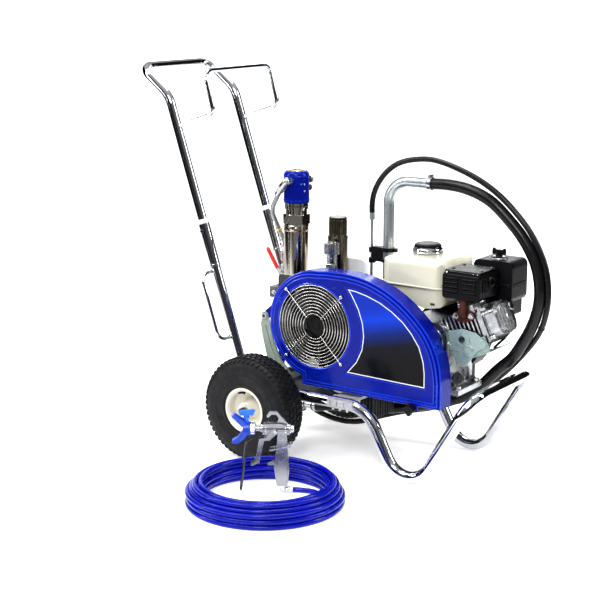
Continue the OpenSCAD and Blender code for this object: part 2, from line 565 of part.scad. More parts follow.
// suction hose: off the tube, out round the engine, and back low under the deck to the pump
suction_pts = [[332.3, 60, 733], [350, 60, 733], [386, 60, 734], [444, 60, 728], [509, 60, 705], [559, 60, 666], [603, 60, 622], [636, 60, 573],
  [654, 60, 523], [658, 60, 462], [641, 61, 398], [611, 65, 343], [582, 70, 301], [547, 74, 269], [517, 77, 238], [489, 78, 210], [437, 78, 171],
  [386, 77, 152], [342, 75, 136], [282, 71, 120], [243, 68, 111], [183, 62, 99], [127, 54, 94], [72, 47, 92], [32, 41, 87], [8, 40, 81], [-13.4, 40, 80]];
module suction_hose() color([0.07, 0.07, 0.07]) sweep(route(suction_pts, 2), suction_hose_d / 2, 12);
module drain_tube() color("silver") {
  cz(4, 250, 628, 162, 60);
  cz(7.5, 622, 640, 162, 60);
}
drain_pts = [[162, 60, 640.9], [162, 60, 664], [170, 60, 700], [196, 60, 742], [240, 60, 777], [296, 60, 792], [350, 60, 794], [410, 60, 780], [470, 62, 757],
  [528, 62, 725], [580, 62, 683], [627, 62, 632], [660, 62, 576], [676.5, 62, 525], [680.5, 62, 460], [664, 66, 392], [628, 84, 340], [590, 96, 296],
  [552, 104, 256], [508, 106, 216], [452, 106, 176], [392, 105, 140], [328, 102, 116], [266, 100, 98], [226, 98, 86], [163, 95, 63], [123, 92, 46], [81, 90, 36], [35, 88, 35],
  [-16, 88, 43], [-54, 88, 58], [-80, 88, 90], [-92, 90, 140], [-92, 90, 200], [-80, 90, 260], [-62, 88, 302], [-38, 77, 335], [-23, 69, 355], [-20, 68, 369], [-20, 68, 379.6]];
module drain_hose() color([0.08, 0.08, 0.08]) sweep(route(drain_pts, 2), drain_hose_d / 2, 8);
module tube_clips() color([0.05, 0.05, 0.05]) difference() {
  union() {
    cz(18.5, 541, 551, 214, 60);
    cz(18.5, 512, 520, 214, 60);
    bx(214, 240, 54, 66, 541, 551);
    bx(168, 206, 50, 70, 512, 551);
    for (z = [506, 534]) {
      cz(8, z, z + 13, 162, 60);
      bx(162, 172, 55, 65, z, z + 13);
    }
  }
  cz(14.55, 500, 560, 214, 60);
  cz(4.05, 500, 560, 162, 60);
}

// ---------- engine ----------
module at_cyl() translate([crank[0], 0, crank[1]]) rotate([0, -cyl_slope, 0]) children();
module engine_block() color([0.62, 0.63, 0.64]) difference() {
  union() {
    // crankcase
    translate([0, 58, 0]) rotate([90, 0, 0]) linear_extrude(138) union() {
      translate([400, 322]) rr2(150, 166, 40);
      translate([400, 262]) rr2(150, 62, 8);
      translate([400, 236]) rr2(172, 12, 3);
    }
    bx(296, 336, -66, 58, deck_z, 233);
    bx(464, 504, -66, 58, deck_z, 233);
    bx(325, 475, -80, 58, 226, 240);
    cy(32, -86, -80, crank[0], crank[1]);
    // cylinder barrel and head with fins
    at_cyl() {
      translate([50, -44, -38]) cube([130, 82, 76]);
      for (i = [0:fin_count - 1]) translate([72 + i * 11.5, -60, -50]) cube([4, 112, 100]);
      translate([172, -58, -44]) cube([8, 106, 92]);
    }
    // exhaust port and inlet port
    at_cyl() { translate([140, -60, 38]) cube([34, 40, 22]); translate([140, 14, 38]) cube([30, 34, 18]); }
    // oil filler necks
    rod([480, -60, 262], [497, -66, 266], 13);
    rod([320, -60, 262], [310, -66, 266], 13);
    hexz(16, 240, 244, 480, 0);
  }
  cy(9.56, -90, -45, crank[0], crank[1]);
}
module valve_cover() color([0.8, 0.81, 0.82]) at_cyl() {
  translate([180, -58, -44]) cube([6, 106, 92]);
  translate([184, -5, 2]) rotate([0, 90, 0]) linear_extrude(34) rr2(78, 92, 20);
  translate([216, -5, 2]) rotate([0, 90, 0]) linear_extrude(8) rr2(62, 76, 16);
  for (y = [-50, 40], z = [-36, 40]) translate([180, y, z]) rotate([0, 90, 0]) cylinder(r = 6, h = 14);
}
module lower_shroud() color([0.5, 0.62, 0.62]) difference() {
  union() {
    at_cyl() {
      translate([74, -64, -66]) cube([104, 2, 40]);
      translate([74, -64, -68]) cube([104, 116, 2]);
      translate([120, -70, -48]) rotate([-90, 0, 0]) cylinder(r = 9, h = 6);
    }
    translate([0, -61.5, 0]) rotate([90, 0, 0]) linear_extrude(3) polygon([[496, 308], [520, 312], [556, 345], [566, 380], [480, 350]]);
  }
}
module recoil_cover() color([0.75, 0.1, 0.1]) difference() {
  union() {
    cy(95, 83, 128, crank[0], crank[1]);
    cy(86, 128, 152, crank[0], crank[1]);
    cy(60, 152, 160, crank[0], crank[1]);
    cy(20, 160, 166, crank[0], crank[1]);
    cy(97, 58.3, 84, crank[0], crank[1]);
    bx(330, 470, 58.3, 84, 226, 300);
  }
  // slots for the cooling air
  for (i = [0:11]) translate([crank[0], 0, crank[1]]) rotate([0, i * 30, 0]) bx(66, 80, 140, 153, -5, 5);
  // passage of the starter rope
  rod([300, 140, 398], [470, 140, 334], 2.6);
}
module starter_grip() color([0.08, 0.08, 0.08]) {
  rod([458, 140, 338.5], [306, 140, 395.74], 1.9);
  rod([306, 140, 395.74], [298, 140, 398.75], 6);
  translate([294, 140, 400.25]) rotate([90, 0, 0]) rotate([0, 0, 69.36]) translate([0, 0, -34]) cylinder(r = 8, h = 68);
}
module fuel_tank() color([0.93, 0.91, 0.82]) difference() {
  union() {
    // upper half, rounded on every side
    intersection() {
      translate([0, 112, 0]) rotate([90, 0, 0]) linear_extrude(176) translate([358, 521]) rr2(190, 74, 34);
      translate([262, 0, 0]) rotate([90, 0, 90]) linear_extrude(192) translate([24, 513]) rr2(174, 90, 26);
      translate([358, 24, 484]) linear_extrude(90) rr2(192, 174, 35);
    }
    // seam
    translate([358, 24, 485]) linear_extrude(5) rr2(192, 176, 34);
    translate([358, 24, 486]) linear_extrude(20) rr2(188, 172, 34);
    // lower half, deeper towards the front
    intersection() {
      translate([0, 110, 0]) rotate([90, 0, 0]) linear_extrude(172) polygon([[268, 487], [452, 487], [450, 452], [440, 438], [398, 432], [340, 446], [285, 462]]);
      translate([358, 24, 425]) linear_extrude(64) rr2(184, 168, 32);
    }
    cz(34, 554, 563, 352, 30);
  }
  cz(28, 520, 570, 352, 30);
  intersection() {
    translate([0, 108, 0]) rotate([90, 0, 0]) linear_extrude(168) translate([358, 521]) rr2(182, 66, 29);
    translate([262, 0, 0]) rotate([90, 0, 90]) linear_extrude(192) translate([24, 510]) rr2(164, 88, 20);
    translate([358, 24, 488]) linear_extrude(90) rr2(182, 164, 30);
  }
  bx(300, 440, -50, 98, 466, 494);
}
module fuel_cap() color([0.85, 0.86, 0.87]) difference() {
  union() {
    cz(39, 559.5, 569, 352, 30);
    cz(37, 569, 576, 352, 30);
  }
  cz(34.3, 555, 566, 352, 30);
}
module muffler() color([0.06, 0.06, 0.06]) {
  difference() {
    union() {
      translate([0, 30, 0]) rotate([90, 0, 0]) linear_extrude(105) union() {
        translate([509, 504]) rr2(106, 64, 8);
        polygon([[458, 530], [560, 530], [556, 539], [474, 542]]);
      }
    }
    for (i = [0:3], j = [0, 1]) translate([463 + j * 50, -76, 486 + i * 11]) cube([36, 2.5, 4]);
    cx(9, 552, 566, -20, 515);
  }
  at_cyl() { translate([142, -58, 60.3]) cube([30, 36, 30]); }
}
module air_cleaner() color([0.06, 0.06, 0.06]) difference() {
  union() {
    translate([0, 124, 0]) rotate([90, 0, 0]) linear_extrude(84) translate([536, 502.5]) rr2(110, 107, 16);
    translate([0, 118, 0]) rotate([90, 0, 0]) linear_extrude(58) translate([558, 436]) rr2(46, 48, 6);
    cz(22, 550, 560, 531, 82);
  }
  // relief over the cylinder fins
  bx(470, 600, 39, 53.5, 420, 458.5);
}
module air_cleaner_knob() color([0.07, 0.07, 0.07]) {
  cz(9, 560.3, 572, 531, 82);
  bx(513, 549, 78, 86, 565, 577);
}
module carburettor() color([0.6, 0.6, 0.62]) {
  cy(16, 53, 88, 518, 402);
  bx(501, 535, 57, 88, 384, 420);
  cz(14, 366, 386, 518, 72);
  bx(503, 533, 56, 88, 418, 449);
}
module throttle_lever() color([0.1, 0.1, 0.1]) difference() {
  union() {
    cy(9, 90, 94, 504, 398);
    translate([504, 90, 398]) rotate([0, -70, 0]) translate([0, 0, -4]) cube([40, 3, 8]);
  }
}
module choke_lever() color([0.1, 0.1, 0.1]) union() {
  cy(7, 90, 94, 528, 400);
  translate([528, 90, 400]) rotate([0, 20, 0]) translate([0, 0, -3.5]) cube([34, 3, 7]);
}

// ---------- gun ----------
gun_at = [197, -402];
gun_yaw = 212;
module at_gun() translate([gun_at[0], gun_at[1], 0]) rotate([0, 0, gun_yaw]) children();
// plate in the gun's plane of symmetry
module gplate(w, p) rotate([90, 0, 0]) translate([0, 0, -w / 2]) linear_extrude(w) polygon(p);
module gun_body() color([0.78, 0.78, 0.79]) at_gun() difference() {
  union() {
    // handle
    gplate(20, [[-14, 20], [14, 20], [20, 70], [16, 100], [10, 160], [-10, 160], [-14, 110], [-18, 60]]);
    // body
    translate([-20, 0, 166]) rotate([0, 90, 0]) cylinder(r = 13, h = 68);
    gplate(24, [[-20, 154], [48, 154], [48, 180], [4, 182], [-12, 178]]);
    // hook
    difference() {
      gplate(9, [[-18, 170], [36, 178], [36, 190], [38, 200], [30, 211], [12, 211], [-20, 172]]);
      gplate(12, [[12, 183], [40, 184], [40, 196], [33, 196], [26, 203], [14, 203], [8, 194]]);
    }
    // diffuser and retaining thread
    translate([44, 0, 166]) rotate([0, 90, 0]) cylinder(r = 11, h = 10);
    translate([52, 0, 166]) rotate([0, 90, 0]) cylinder(r = 8, h = 14);
    // guard rod in front of the trigger
    bent([[38, 0, 158], [88, 0, 134], [104, 0, 3.2]], [14], 3.2);
    // inlet tube of the handle
    translate([-1, 0, 14]) cylinder(r = 8, h = 8);
    // finger rest
    gplate(8, [[17, 72], [36, 72], [36, 76], [20, 84]]);
  }
  translate([16, 0, 162]) rotate([90, 0, 0]) cylinder(r = 3.06, h = 40, center = true);
}
module gun_trigger() color([0.85, 0.86, 0.87]) at_gun() {
  for (s = [-1, 1]) translate([0, s * 14, 0]) gplate(2, [[10, 158], [16, 170], [24, 168], [40, 146], [54, 144], [62, 82], [56, 80], [44, 138], [30, 140]]);
  gplate(30, [[50, 144], [56, 144], [66, 86], [78, 76], [74, 73], [60, 80]]);
  translate([16, 0, 162]) rotate([90, 0, 0]) cylinder(r = 3, h = 30, center = true);
}
module trigger_lock() color([0.75, 0.76, 0.77]) at_gun() {
  translate([0, 0, 0]) gplate(26, [[19.3, 112], [32, 111], [32, 114], [19.3, 115]]);
  for (s = [-1, 1]) translate([0, s * 12, 0]) gplate(2, [[-24, 131], [-22, 122], [32, 111], [32, 115], [-8, 124]]);
  translate([-17.4, 0, 127]) rotate([90, 0, 0]) cylinder(r = 3, h = 26, center = true);
}
module tip_guard() color([0.05, 0.25, 0.85]) at_gun() difference() {
  union() {
    translate([66.3, 0, 166]) rotate([0, 90, 0]) cylinder(r = 14, h = 14, $fn = 6);
    translate([78, 0, 166]) rotate([0, 90, 0]) cylinder(r = 16, h = 18);
    gplate(22, [[84, 176], [98, 172], [122, 196], [124, 202], [118, 202], [92, 186]]);
    gplate(22, [[84, 156], [98, 160], [112, 142], [124, 136], [124, 130], [110, 128], [92, 142]]);
  }
  translate([60, 0, 166]) rotate([0, 90, 0]) cylinder(r = 8.06, h = 20);
  translate([88, 0, 140]) cylinder(r = 5.56, h = 60);
  translate([88, 0, 166]) rotate([0, 90, 0]) cylinder(r = 6, h = 20);
}
module spray_tip() color([0.1, 0.35, 0.95]) at_gun() {
  translate([88, 0, 150]) cylinder(r = 5.5, h = 52);
  gplate(9, [[72, 200], [104, 200], [106, 208], [96, 212], [74, 214], [66, 212]]);
}

// ---------- spray hose ----------
coil_c = [200, -478];
module hose_coil() color([0.03, 0.08, 0.75]) translate([coil_c[0], coil_c[1], 0]) rotate_extrude()
  polygon([[coil_in_r, 3], [coil_in_r + 3, 0], [coil_r - 3, 0], [coil_r, 3], [coil_r, 26], [coil_r - 14, 46], [coil_r - 22, coil_h], [coil_in_r + 4, coil_h], [coil_in_r, coil_h - 10]]);
// from the pump's outlet down between the wheels and over the floor to the coil
lead_pts = [[-128, 60, 351.6], [-128, 60, 300], [-130, 58, 200], [-134, 50, 112], [-129, 30, 48], [-108, -4, 14], [-70, -52, 6.6],
  [-20, -115, 6.6], [30, -178, 6.6], [60, -235, 6.6], [62, -290, 6.6], [44, -345, 6.6], [20, -379, 6.6], [12, -404, 6.6]];
gun_lead_pts = [[219.2, -388.1, 8.2], [232, -380.2, 7.6], [249, -372.5, 6.8], [270, -369, 6.6], [292, -376, 6.6], [312, -390, 6.6], [328, -409, 6.6], [338, -431, 6.6], [343, -455, 6.6]];
module hose_lead() color([0.03, 0.08, 0.75]) {
  sweep(route(lead_pts, 2), spray_hose_d / 2, 8);
  sweep(route(gun_lead_pts, 2), spray_hose_d / 2, 8);
}

// ---------- pieces ----------
module put() translate(shift) children();
put() leg_frame();
put() axle();
put() fasteners();
put() deck();
put() tube_clamps();
put() lower_uprights();
put() upright_collars();
put() guard_bracket();
put() v_belt();
put() oil_reservoir();
put() hydraulic_pump();
put() oil_cooler();
put() motor_cap();
put() motor_cylinder();
put() fluid_pump();
put() intake_valve();
put() fluid_manifold();
put() filter_bowl();
put() hydraulic_lines();
put() ball_valve();
put() suction_tube();
put() suction_hose();
put() drain_tube();
put() drain_hose();
put() tube_clips();
put() engine_block();
put() valve_cover();
put() lower_shroud();
put() recoil_cover();
put() fuel_tank();
put() muffler();
put() air_cleaner();
put() carburettor();
put() near_rim();
put() near_tyre();
put() far_rim();
put() far_tyre();
put() upper_handle();
put() belt_guard();
put() fan_grille();
put() guard_knob();
put() fan_pulley();
put() engine_pulley();
put() piston_rod();
put() filter_cap();
put() pressure_knob();
put() valve_lever();
put() prime_handle();
put() fuel_cap();
put() air_cleaner_knob();
put() starter_grip();
put() throttle_lever();
put() choke_lever();
put() gun_body();
put() gun_trigger();
put() trigger_lock();
put() tip_guard();
put() spray_tip();
put() hose_coil();
put() hose_lead();
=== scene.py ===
import math, random
import bpy, bmesh
import numpy as np
from mathutils import Vector, Matrix, Quaternion, noise


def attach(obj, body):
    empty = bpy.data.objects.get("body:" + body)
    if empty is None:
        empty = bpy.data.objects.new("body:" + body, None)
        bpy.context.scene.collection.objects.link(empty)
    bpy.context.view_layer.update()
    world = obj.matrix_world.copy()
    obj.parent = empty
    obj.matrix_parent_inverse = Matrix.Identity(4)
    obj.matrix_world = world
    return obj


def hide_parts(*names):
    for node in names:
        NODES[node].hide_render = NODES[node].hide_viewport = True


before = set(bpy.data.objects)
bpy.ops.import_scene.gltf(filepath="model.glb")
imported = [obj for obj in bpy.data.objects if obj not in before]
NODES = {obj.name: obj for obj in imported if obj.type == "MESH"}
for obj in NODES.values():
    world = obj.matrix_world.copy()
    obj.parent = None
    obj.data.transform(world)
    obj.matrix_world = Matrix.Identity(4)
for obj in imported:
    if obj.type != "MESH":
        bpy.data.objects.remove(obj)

random.seed(7)
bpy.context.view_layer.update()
SH = Vector((-108.17, 97.52, 0.0))      # working millimetres to the row frame


def W(p):
    return (Vector(p) + SH) / 1000.0


# ------------------------------------------------------------------ camera and light
cam = bpy.data.objects.new("camera", bpy.data.cameras.new("camera"))
bpy.context.scene.collection.objects.link(cam)
bpy.context.scene.camera = cam
A_, P_ = math.radians(35.0), math.radians(12.86)
cR = Vector((math.cos(A_), math.sin(A_), 0))
cV = Vector((-math.sin(A_) * math.cos(P_), math.cos(A_) * math.cos(P_), -math.sin(P_)))
cU = cR.cross(cV).normalized()
m = Matrix.Identity(4)
for i in range(3):
    m[i][0], m[i][1], m[i][2] = cR[i], cU[i], -cV[i]
loc = W((2219.9, -3214.05, 1283.0))
m.translation = loc
cam.matrix_world = m
cam.data.sensor_width = 36.0
cam.data.lens = 88.08
cam.data.clip_start, cam.data.clip_end = 0.05, 60.0


# ------------------------------------------------------------------ materials
def new_mat(name):
    mt = bpy.data.materials.new(name)
    mt.use_nodes = True
    nt = mt.node_tree
    bs = nt.nodes["Principled BSDF"]
    return mt, nt, bs


def N(nt, kind, **kw):
    n = nt.nodes.new(kind)
    for k, v in kw.items():
        if k in n.inputs.keys():
            n.inputs[k].default_value = v
        else:
            setattr(n, k, v)
    return n


def coords(nt, scale=(1, 1, 1)):
    tc = nt.nodes.new("ShaderNodeTexCoord")
    mp = nt.nodes.new("ShaderNodeMapping")
    mp.inputs["Scale"].default_value = scale
    nt.links.new(tc.outputs["Object"], mp.inputs["Vector"])
    return mp.outputs["Vector"]


def ramp(nt, src, stops):
    r = nt.nodes.new("ShaderNodeValToRGB")
    el = r.color_ramp.elements
    while len(el) > 1:
        el.remove(el[-1])
    el[0].position, el[0].color = stops[0][0], tuple(stops[0][1]) + (1,) if len(stops[0][1]) == 3 else stops[0][1]
    for p, c in stops[1:]:
        e = el.new(p)
        e.color = tuple(c) + (1,) if len(c) == 3 else c
    nt.links.new(src, r.inputs["Fac"])
    return r.outputs["Color"]


def maprange(nt, src, a, b, lo=0.3, hi=0.7):
    r = nt.nodes.new("ShaderNodeMapRange")
    r.inputs["From Min"].default_value, r.inputs["From Max"].default_value = lo, hi
    r.inputs["To Min"].default_value, r.inputs["To Max"].default_value = a, b
    nt.links.new(src, r.inputs["Value"])
    return r.outputs["Result"]


def tex_noise(nt, vec, scale, detail=4, rough=0.55, dist=0.0):
    t = nt.nodes.new("ShaderNodeTexNoise")
    t.inputs["Scale"].default_value = scale
    t.inputs["Detail"].default_value = detail
    t.inputs["Roughness"].default_value = rough
    t.inputs["Distortion"].default_value = dist
    nt.links.new(vec, t.inputs["Vector"])
    return t.outputs["Fac"]


def mix_col(nt, fac, a, b, mode="MIX"):
    mx = nt.nodes.new("ShaderNodeMix")
    mx.data_type = "RGBA"
    mx.blend_type = mode
    for val, key in ((a, 6), (b, 7)):
        if isinstance(val, (tuple, list)):
            mx.inputs[key].default_value = tuple(val) + ((1,) if len(val) == 3 else ())
        else:
            nt.links.new(val, mx.inputs[key])
    if isinstance(fac, float):
        mx.inputs[0].default_value = fac
    else:
        nt.links.new(fac, mx.inputs[0])
    return mx.outputs[2]


def bumped(nt, bs, height, strength, dist=0.001):
    b = nt.nodes.new("ShaderNodeBump")
    b.inputs["Strength"].default_value = strength
    b.inputs["Distance"].default_value = dist
    nt.links.new(height, b.inputs["Height"])
    nt.links.new(b.outputs["Normal"], bs.inputs["Normal"])
    return b


def pointy_edge_mask(nt):
    g = nt.nodes.new("ShaderNodeNewGeometry")
    return g.outputs["Pointiness"]


def surf(name, c1, c2, rough=(0.3, 0.4), metal=0.0, scale=60, fine=900, bump=0.08, bdist=0.0004,
         coat=0.0, coat_rough=0.1, stretch=(1, 1, 1), spec=0.5, ior=1.5, sheen=0.0, aniso=0.0, edge_wear_and_highlight=None):
    """a paint, plastic or metal whose colour, roughness and grain vary"""
    mt, nt, bs = new_mat(name)
    v = coords(nt, stretch)
    big = tex_noise(nt, v, scale, 5)
    fin = tex_noise(nt, v, fine, 3)
    col = mix_col(nt, maprange(nt, big, 0.0, 1.0), c1, c2)
    # convex edges, picked out by pointiness, are mixed towards the edge colour: a brighter blue on blue_paint, which is
    # a painted highlight, and a lighter grey on black_paint
    if edge_wear_and_highlight:
        pt = maprange(nt, pointy_edge_mask(nt), 0.0, 1.0, 0.535, 0.60)
        mul = nt.nodes.new("ShaderNodeMath"); mul.operation = "MULTIPLY"
        nt.links.new(pt, mul.inputs[0]); nt.links.new(maprange(nt, tex_noise(nt, v, 180, 4), 0.0, 1.0, 0.45, 0.6), mul.inputs[1])
        col = mix_col(nt, mul.outputs[0], col, edge_wear_and_highlight)
    nt.links.new(col, bs.inputs["Base Color"])
    nt.links.new(maprange(nt, tex_noise(nt, v, scale * 2.3, 4), rough[0], rough[1]), bs.inputs["Roughness"])
    bs.inputs["Metallic"].default_value = metal
    bs.inputs["IOR"].default_value = ior
    bs.inputs["Specular IOR Level"].default_value = spec
    bs.inputs["Coat Weight"].default_value = coat
    bs.inputs["Coat Roughness"].default_value = coat_rough
    bs.inputs["Anisotropic"].default_value = aniso
    if sheen:
        bs.inputs["Sheen Weight"].default_value = sheen
    bumped(nt, bs, fin, bump, bdist)
    return mt


M = {}
M["chrome"] = surf("chrome", (0.58, 0.59, 0.61), (0.70, 0.71, 0.73), (0.03, 0.07), 1.0, 25, 700, 0.02, 0.0002)
M["zinc"] = surf("zinc", (0.47, 0.48, 0.49), (0.58, 0.59, 0.60), (0.20, 0.32), 1.0, 40, 1200, 0.05, 0.0002)
M["zinc_tube"] = surf("zinc_tube", (0.52, 0.54, 0.55), (0.68, 0.70, 0.71), (0.12, 0.26), 1.0, 60, 900, 0.04, 0.0002, stretch=(1, 1, 0.12))
M["dark_steel"] = surf("dark_steel", (0.05, 0.05, 0.055), (0.12, 0.12, 0.125), (0.28, 0.45), 0.9, 70, 1200, 0.10, 0.0003)
M["nickel"] = surf("nickel", (0.47, 0.43, 0.35), (0.60, 0.56, 0.48), (0.06, 0.14), 1.0, 30, 900, 0.03, 0.0002, stretch=(1, 1, 0.05))
M["bright_rod"] = surf("bright_rod", (0.74, 0.74, 0.75), (0.88, 0.88, 0.89), (0.06, 0.15), 1.0, 80, 1000, 0.03, 0.0002)
# painted highlight: the convex edges turn a brighter blue
M["blue_paint"] = surf("blue_paint", (0.002, 0.009, 0.22), (0.003, 0.014, 0.29), (0.18, 0.28), 0.0, 9, 420, 0.04, 0.0003, coat=0.10, coat_rough=0.05, spec=0.14, edge_wear_and_highlight=(0.01, 0.05, 0.50))
# a lighter copy of the guard's blue: painted highlight lines on the pressed beads, the opening's lip and the step round
# the panel
M["blue_painted_highlight"] = surf("blue_painted_highlight", (0.005, 0.035, 0.52), (0.008, 0.05, 0.66), (0.16, 0.26), 0.0, 9, 420, 0.05, 0.0003, coat=0.35, coat_rough=0.05, spec=0.3)
M["blue_plastic"] = surf("blue_plastic", (0.002, 0.05, 0.50), (0.004, 0.075, 0.62), (0.25, 0.38), 0.0, 60, 900, 0.06, 0.0003, coat=0.3, coat_rough=0.15)
M["tip_blue"] = surf("tip_blue", (0.005, 0.14, 0.75), (0.008, 0.2, 0.9), (0.25, 0.4), 0.0, 60, 900, 0.06, 0.0003, coat=0.3, coat_rough=0.15)
# the convex edges turn a lighter grey
M["black_paint"] = surf("black_paint", (0.012, 0.012, 0.013), (0.03, 0.03, 0.032), (0.32, 0.5), 0.0, 20, 600, 0.10, 0.0004, coat=0.2, coat_rough=0.3, edge_wear_and_highlight=(0.12, 0.12, 0.12))
M["black_gloss"] = surf("black_gloss", (0.003, 0.003, 0.0035), (0.006, 0.006, 0.007), (0.20, 0.34), 0.0, 15, 500, 0.06, 0.0003, coat=0.04, coat_rough=0.08, spec=0.13)
M["black_plastic"] = surf("black_plastic", (0.006, 0.006, 0.007), (0.012, 0.012, 0.014), (0.32, 0.46), 0.0, 30, 1500, 0.14, 0.0003, spec=0.24)
M["black_casting"] = surf("black_casting", (0.016, 0.016, 0.017), (0.05, 0.05, 0.052), (0.45, 0.62), 0.1, 40, 500, 0.35, 0.0006)
M["cream"] = surf("cream", (0.64, 0.625, 0.50), (0.70, 0.685, 0.56), (0.16, 0.26), 0.0, 7, 350, 0.03, 0.0003, coat=0.5, coat_rough=0.06)
M["cream_rim"] = surf("cream_rim", (0.74, 0.71, 0.60), (0.83, 0.80, 0.70), (0.25, 0.4), 0.0, 14, 500, 0.06, 0.0004, coat=0.3, coat_rough=0.15)
M["cast_alu"] = surf("cast_alu", (0.40, 0.41, 0.42), (0.60, 0.61, 0.62), (0.24, 0.40), 1.0, 60, 650, 0.30, 0.0006)
# near-black: on the thin fins this is painted shade between the cast fins; it is also the oil filler caps' dark finish
M["dark_alu_and_fin_shade"] = surf("dark_alu_and_fin_shade", (0.018, 0.018, 0.018), (0.045, 0.045, 0.046), (0.45, 0.6), 0.3, 80, 800, 0.25, 0.0005)
M["gun_alu"] = surf("gun_alu", (0.29, 0.295, 0.31), (0.35, 0.355, 0.37), (0.22, 0.30), 1.0, 22, 1300, 0.05, 0.0003)
M["teal"] = surf("teal", (0.22, 0.31, 0.30), (0.30, 0.39, 0.375), (0.20, 0.34), 0.15, 16, 500, 0.05, 0.0003, coat=0.4, coat_rough=0.12)
M["sage"] = surf("sage", (0.30, 0.37, 0.31), (0.40, 0.47, 0.40), (0.35, 0.5), 0.2, 30, 700, 0.12, 0.0004)
M["red_paint"] = surf("red_paint", (0.45, 0.012, 0.01), (0.56, 0.02, 0.015), (0.2, 0.3), 0.0, 12, 500, 0.05, 0.0003, coat=0.6, coat_rough=0.08)
M["red_vinyl"] = surf("red_vinyl", (0.58, 0.012, 0.008), (0.70, 0.02, 0.012), (0.28, 0.42), 0.0, 60, 1000, 0.08, 0.0004, coat=0.3, coat_rough=0.2)
M["white_nylon"] = surf("white_nylon", (0.70, 0.72, 0.73), (0.80, 0.81, 0.82), (0.3, 0.42), 0.0, 50, 900, 0.06, 0.0003)
M["rubber"] = surf("rubber", (0.008, 0.008, 0.008), (0.018, 0.018, 0.018), (0.42, 0.62), 0.0, 40, 700, 0.20, 0.0005, spec=0.3)
M["hose_black"] = surf("hose_black", (0.005, 0.005, 0.006), (0.011, 0.011, 0.012), (0.24, 0.36), 0.0, 25, 900, 0.08, 0.0003, spec=0.35)
M["hose_blue"] = surf("hose_blue", (0.002, 0.006, 0.27), (0.003, 0.010, 0.40), (0.18, 0.30), 0.0, 14, 700, 0.04, 0.0003, coat=0.12, coat_rough=0.1, spec=0.22)
M["bronze"] = surf("bronze", (0.20, 0.17, 0.13), (0.29, 0.25, 0.20), (0.12, 0.22), 1.0, 30, 700, 0.05, 0.0003, stretch=(1, 1, 0.08))
M["grey_casting"] = surf("grey_casting", (0.10, 0.10, 0.105), (0.19, 0.19, 0.195), (0.36, 0.52), 0.7, 50, 500, 0.30, 0.0006)
M["brass"] = surf("brass", (0.62, 0.40, 0.12), (0.78, 0.55, 0.22), (0.18, 0.32), 1.0, 70, 900, 0.06, 0.0003)
M["milky_with_painted_glow"] = surf("milky_with_painted_glow", (0.84, 0.87, 0.88), (0.90, 0.92, 0.93), (0.3, 0.42), 0.0, 12, 600, 0.06, 0.0004)
# painted glow: a faint emission that lifts the reservoir plastic out of the shade behind the guard
for _l in M["milky_with_painted_glow"].node_tree.nodes:
    if _l.type == "BSDF_PRINCIPLED":
        _l.inputs["Emission Color"].default_value = (0.80, 0.86, 0.90, 1)
        _l.inputs["Emission Strength"].default_value = 0.12
M["satin_tube"] = surf("satin_tube", (0.44, 0.49, 0.50), (0.57, 0.61, 0.61), (0.26, 0.38), 0.9, 60, 900, 0.05, 0.0002, stretch=(1, 1, 0.12))
M["wire"] = surf("wire", (0.40, 0.385, 0.36), (0.58, 0.57, 0.55), (0.16, 0.26), 1.0, 90, 900, 0.03, 0.0002)
# near-black matte: painted shade for the louvre openings and behind the fan
M["painted_shade_black"] = surf("painted_shade_black", (0.004, 0.004, 0.004), (0.008, 0.008, 0.008), (0.6, 0.8), 0.0, 40, 500, 0.1, 0.0003)
M["white_print"] = surf("white_print", (0.74, 0.75, 0.77), (0.80, 0.81, 0.82), (0.25, 0.35), 0.0, 40, 900, 0.03, 0.0002)


def speckled():
    mt, nt, bs = new_mat("speckled_casting")
    v = coords(nt)
    t = nt.nodes.new("ShaderNodeTexVoronoi"); t.inputs["Scale"].default_value = 520
    nt.links.new(v, t.inputs["Vector"])
    spots = maprange(nt, t.outputs["Distance"], 1.0, 0.0, 0.16, 0.34)
    n2 = tex_noise(nt, v, 160, 4)
    col = mix_col(nt, spots, mix_col(nt, maprange(nt, n2, 0, 1), (0.52, 0.53, 0.53), (0.72, 0.72, 0.71)), (0.10, 0.10, 0.11))
    nt.links.new(col, bs.inputs["Base Color"])
    bs.inputs["Metallic"].default_value = 0.5
    nt.links.new(maprange(nt, n2, 0.35, 0.6), bs.inputs["Roughness"])
    bumped(nt, bs, t.outputs["Distance"], 0.5, 0.0008)
    return mt


def rust_heat():
    mt, nt, bs = new_mat("heated_steel")
    v = coords(nt)
    n1 = tex_noise(nt, v, 55, 6, 0.7)
    col = ramp(nt, n1, [(0.30, (0.02, 0.012, 0.010)), (0.45, (0.05, 0.014, 0.009)), (0.58, (0.10, 0.025, 0.014)), (0.72, (0.05, 0.03, 0.03))])
    nt.links.new(col, bs.inputs["Base Color"])
    bs.inputs["Metallic"].default_value = 0.5
    nt.links.new(maprange(nt, n1, 0.4, 0.8), bs.inputs["Roughness"])
    bumped(nt, bs, tex_noise(nt, v, 500, 4), 0.3, 0.0005)
    return mt


def tyre_mat():
    mt, nt, bs = new_mat("tyre_rubber")
    v = coords(nt)
    n1 = tex_noise(nt, v, 30, 6, 0.65)
    col = ramp(nt, n1, [(0.30, (0.006, 0.006, 0.007)), (0.62, (0.014, 0.014, 0.015)), (0.78, (0.030, 0.029, 0.028))])
    nt.links.new(col, bs.inputs["Base Color"])
    nt.links.new(maprange(nt, tex_noise(nt, v, 90, 5), 0.42, 0.68), bs.inputs["Roughness"])
    bs.inputs["Specular IOR Level"].default_value = 0.28
    bumped(nt, bs, tex_noise(nt, v, 1100, 5), 0.3, 0.0005)
    return mt


M["speckled"] = speckled()
M["heated"] = rust_heat()
M["tyre"] = tyre_mat()


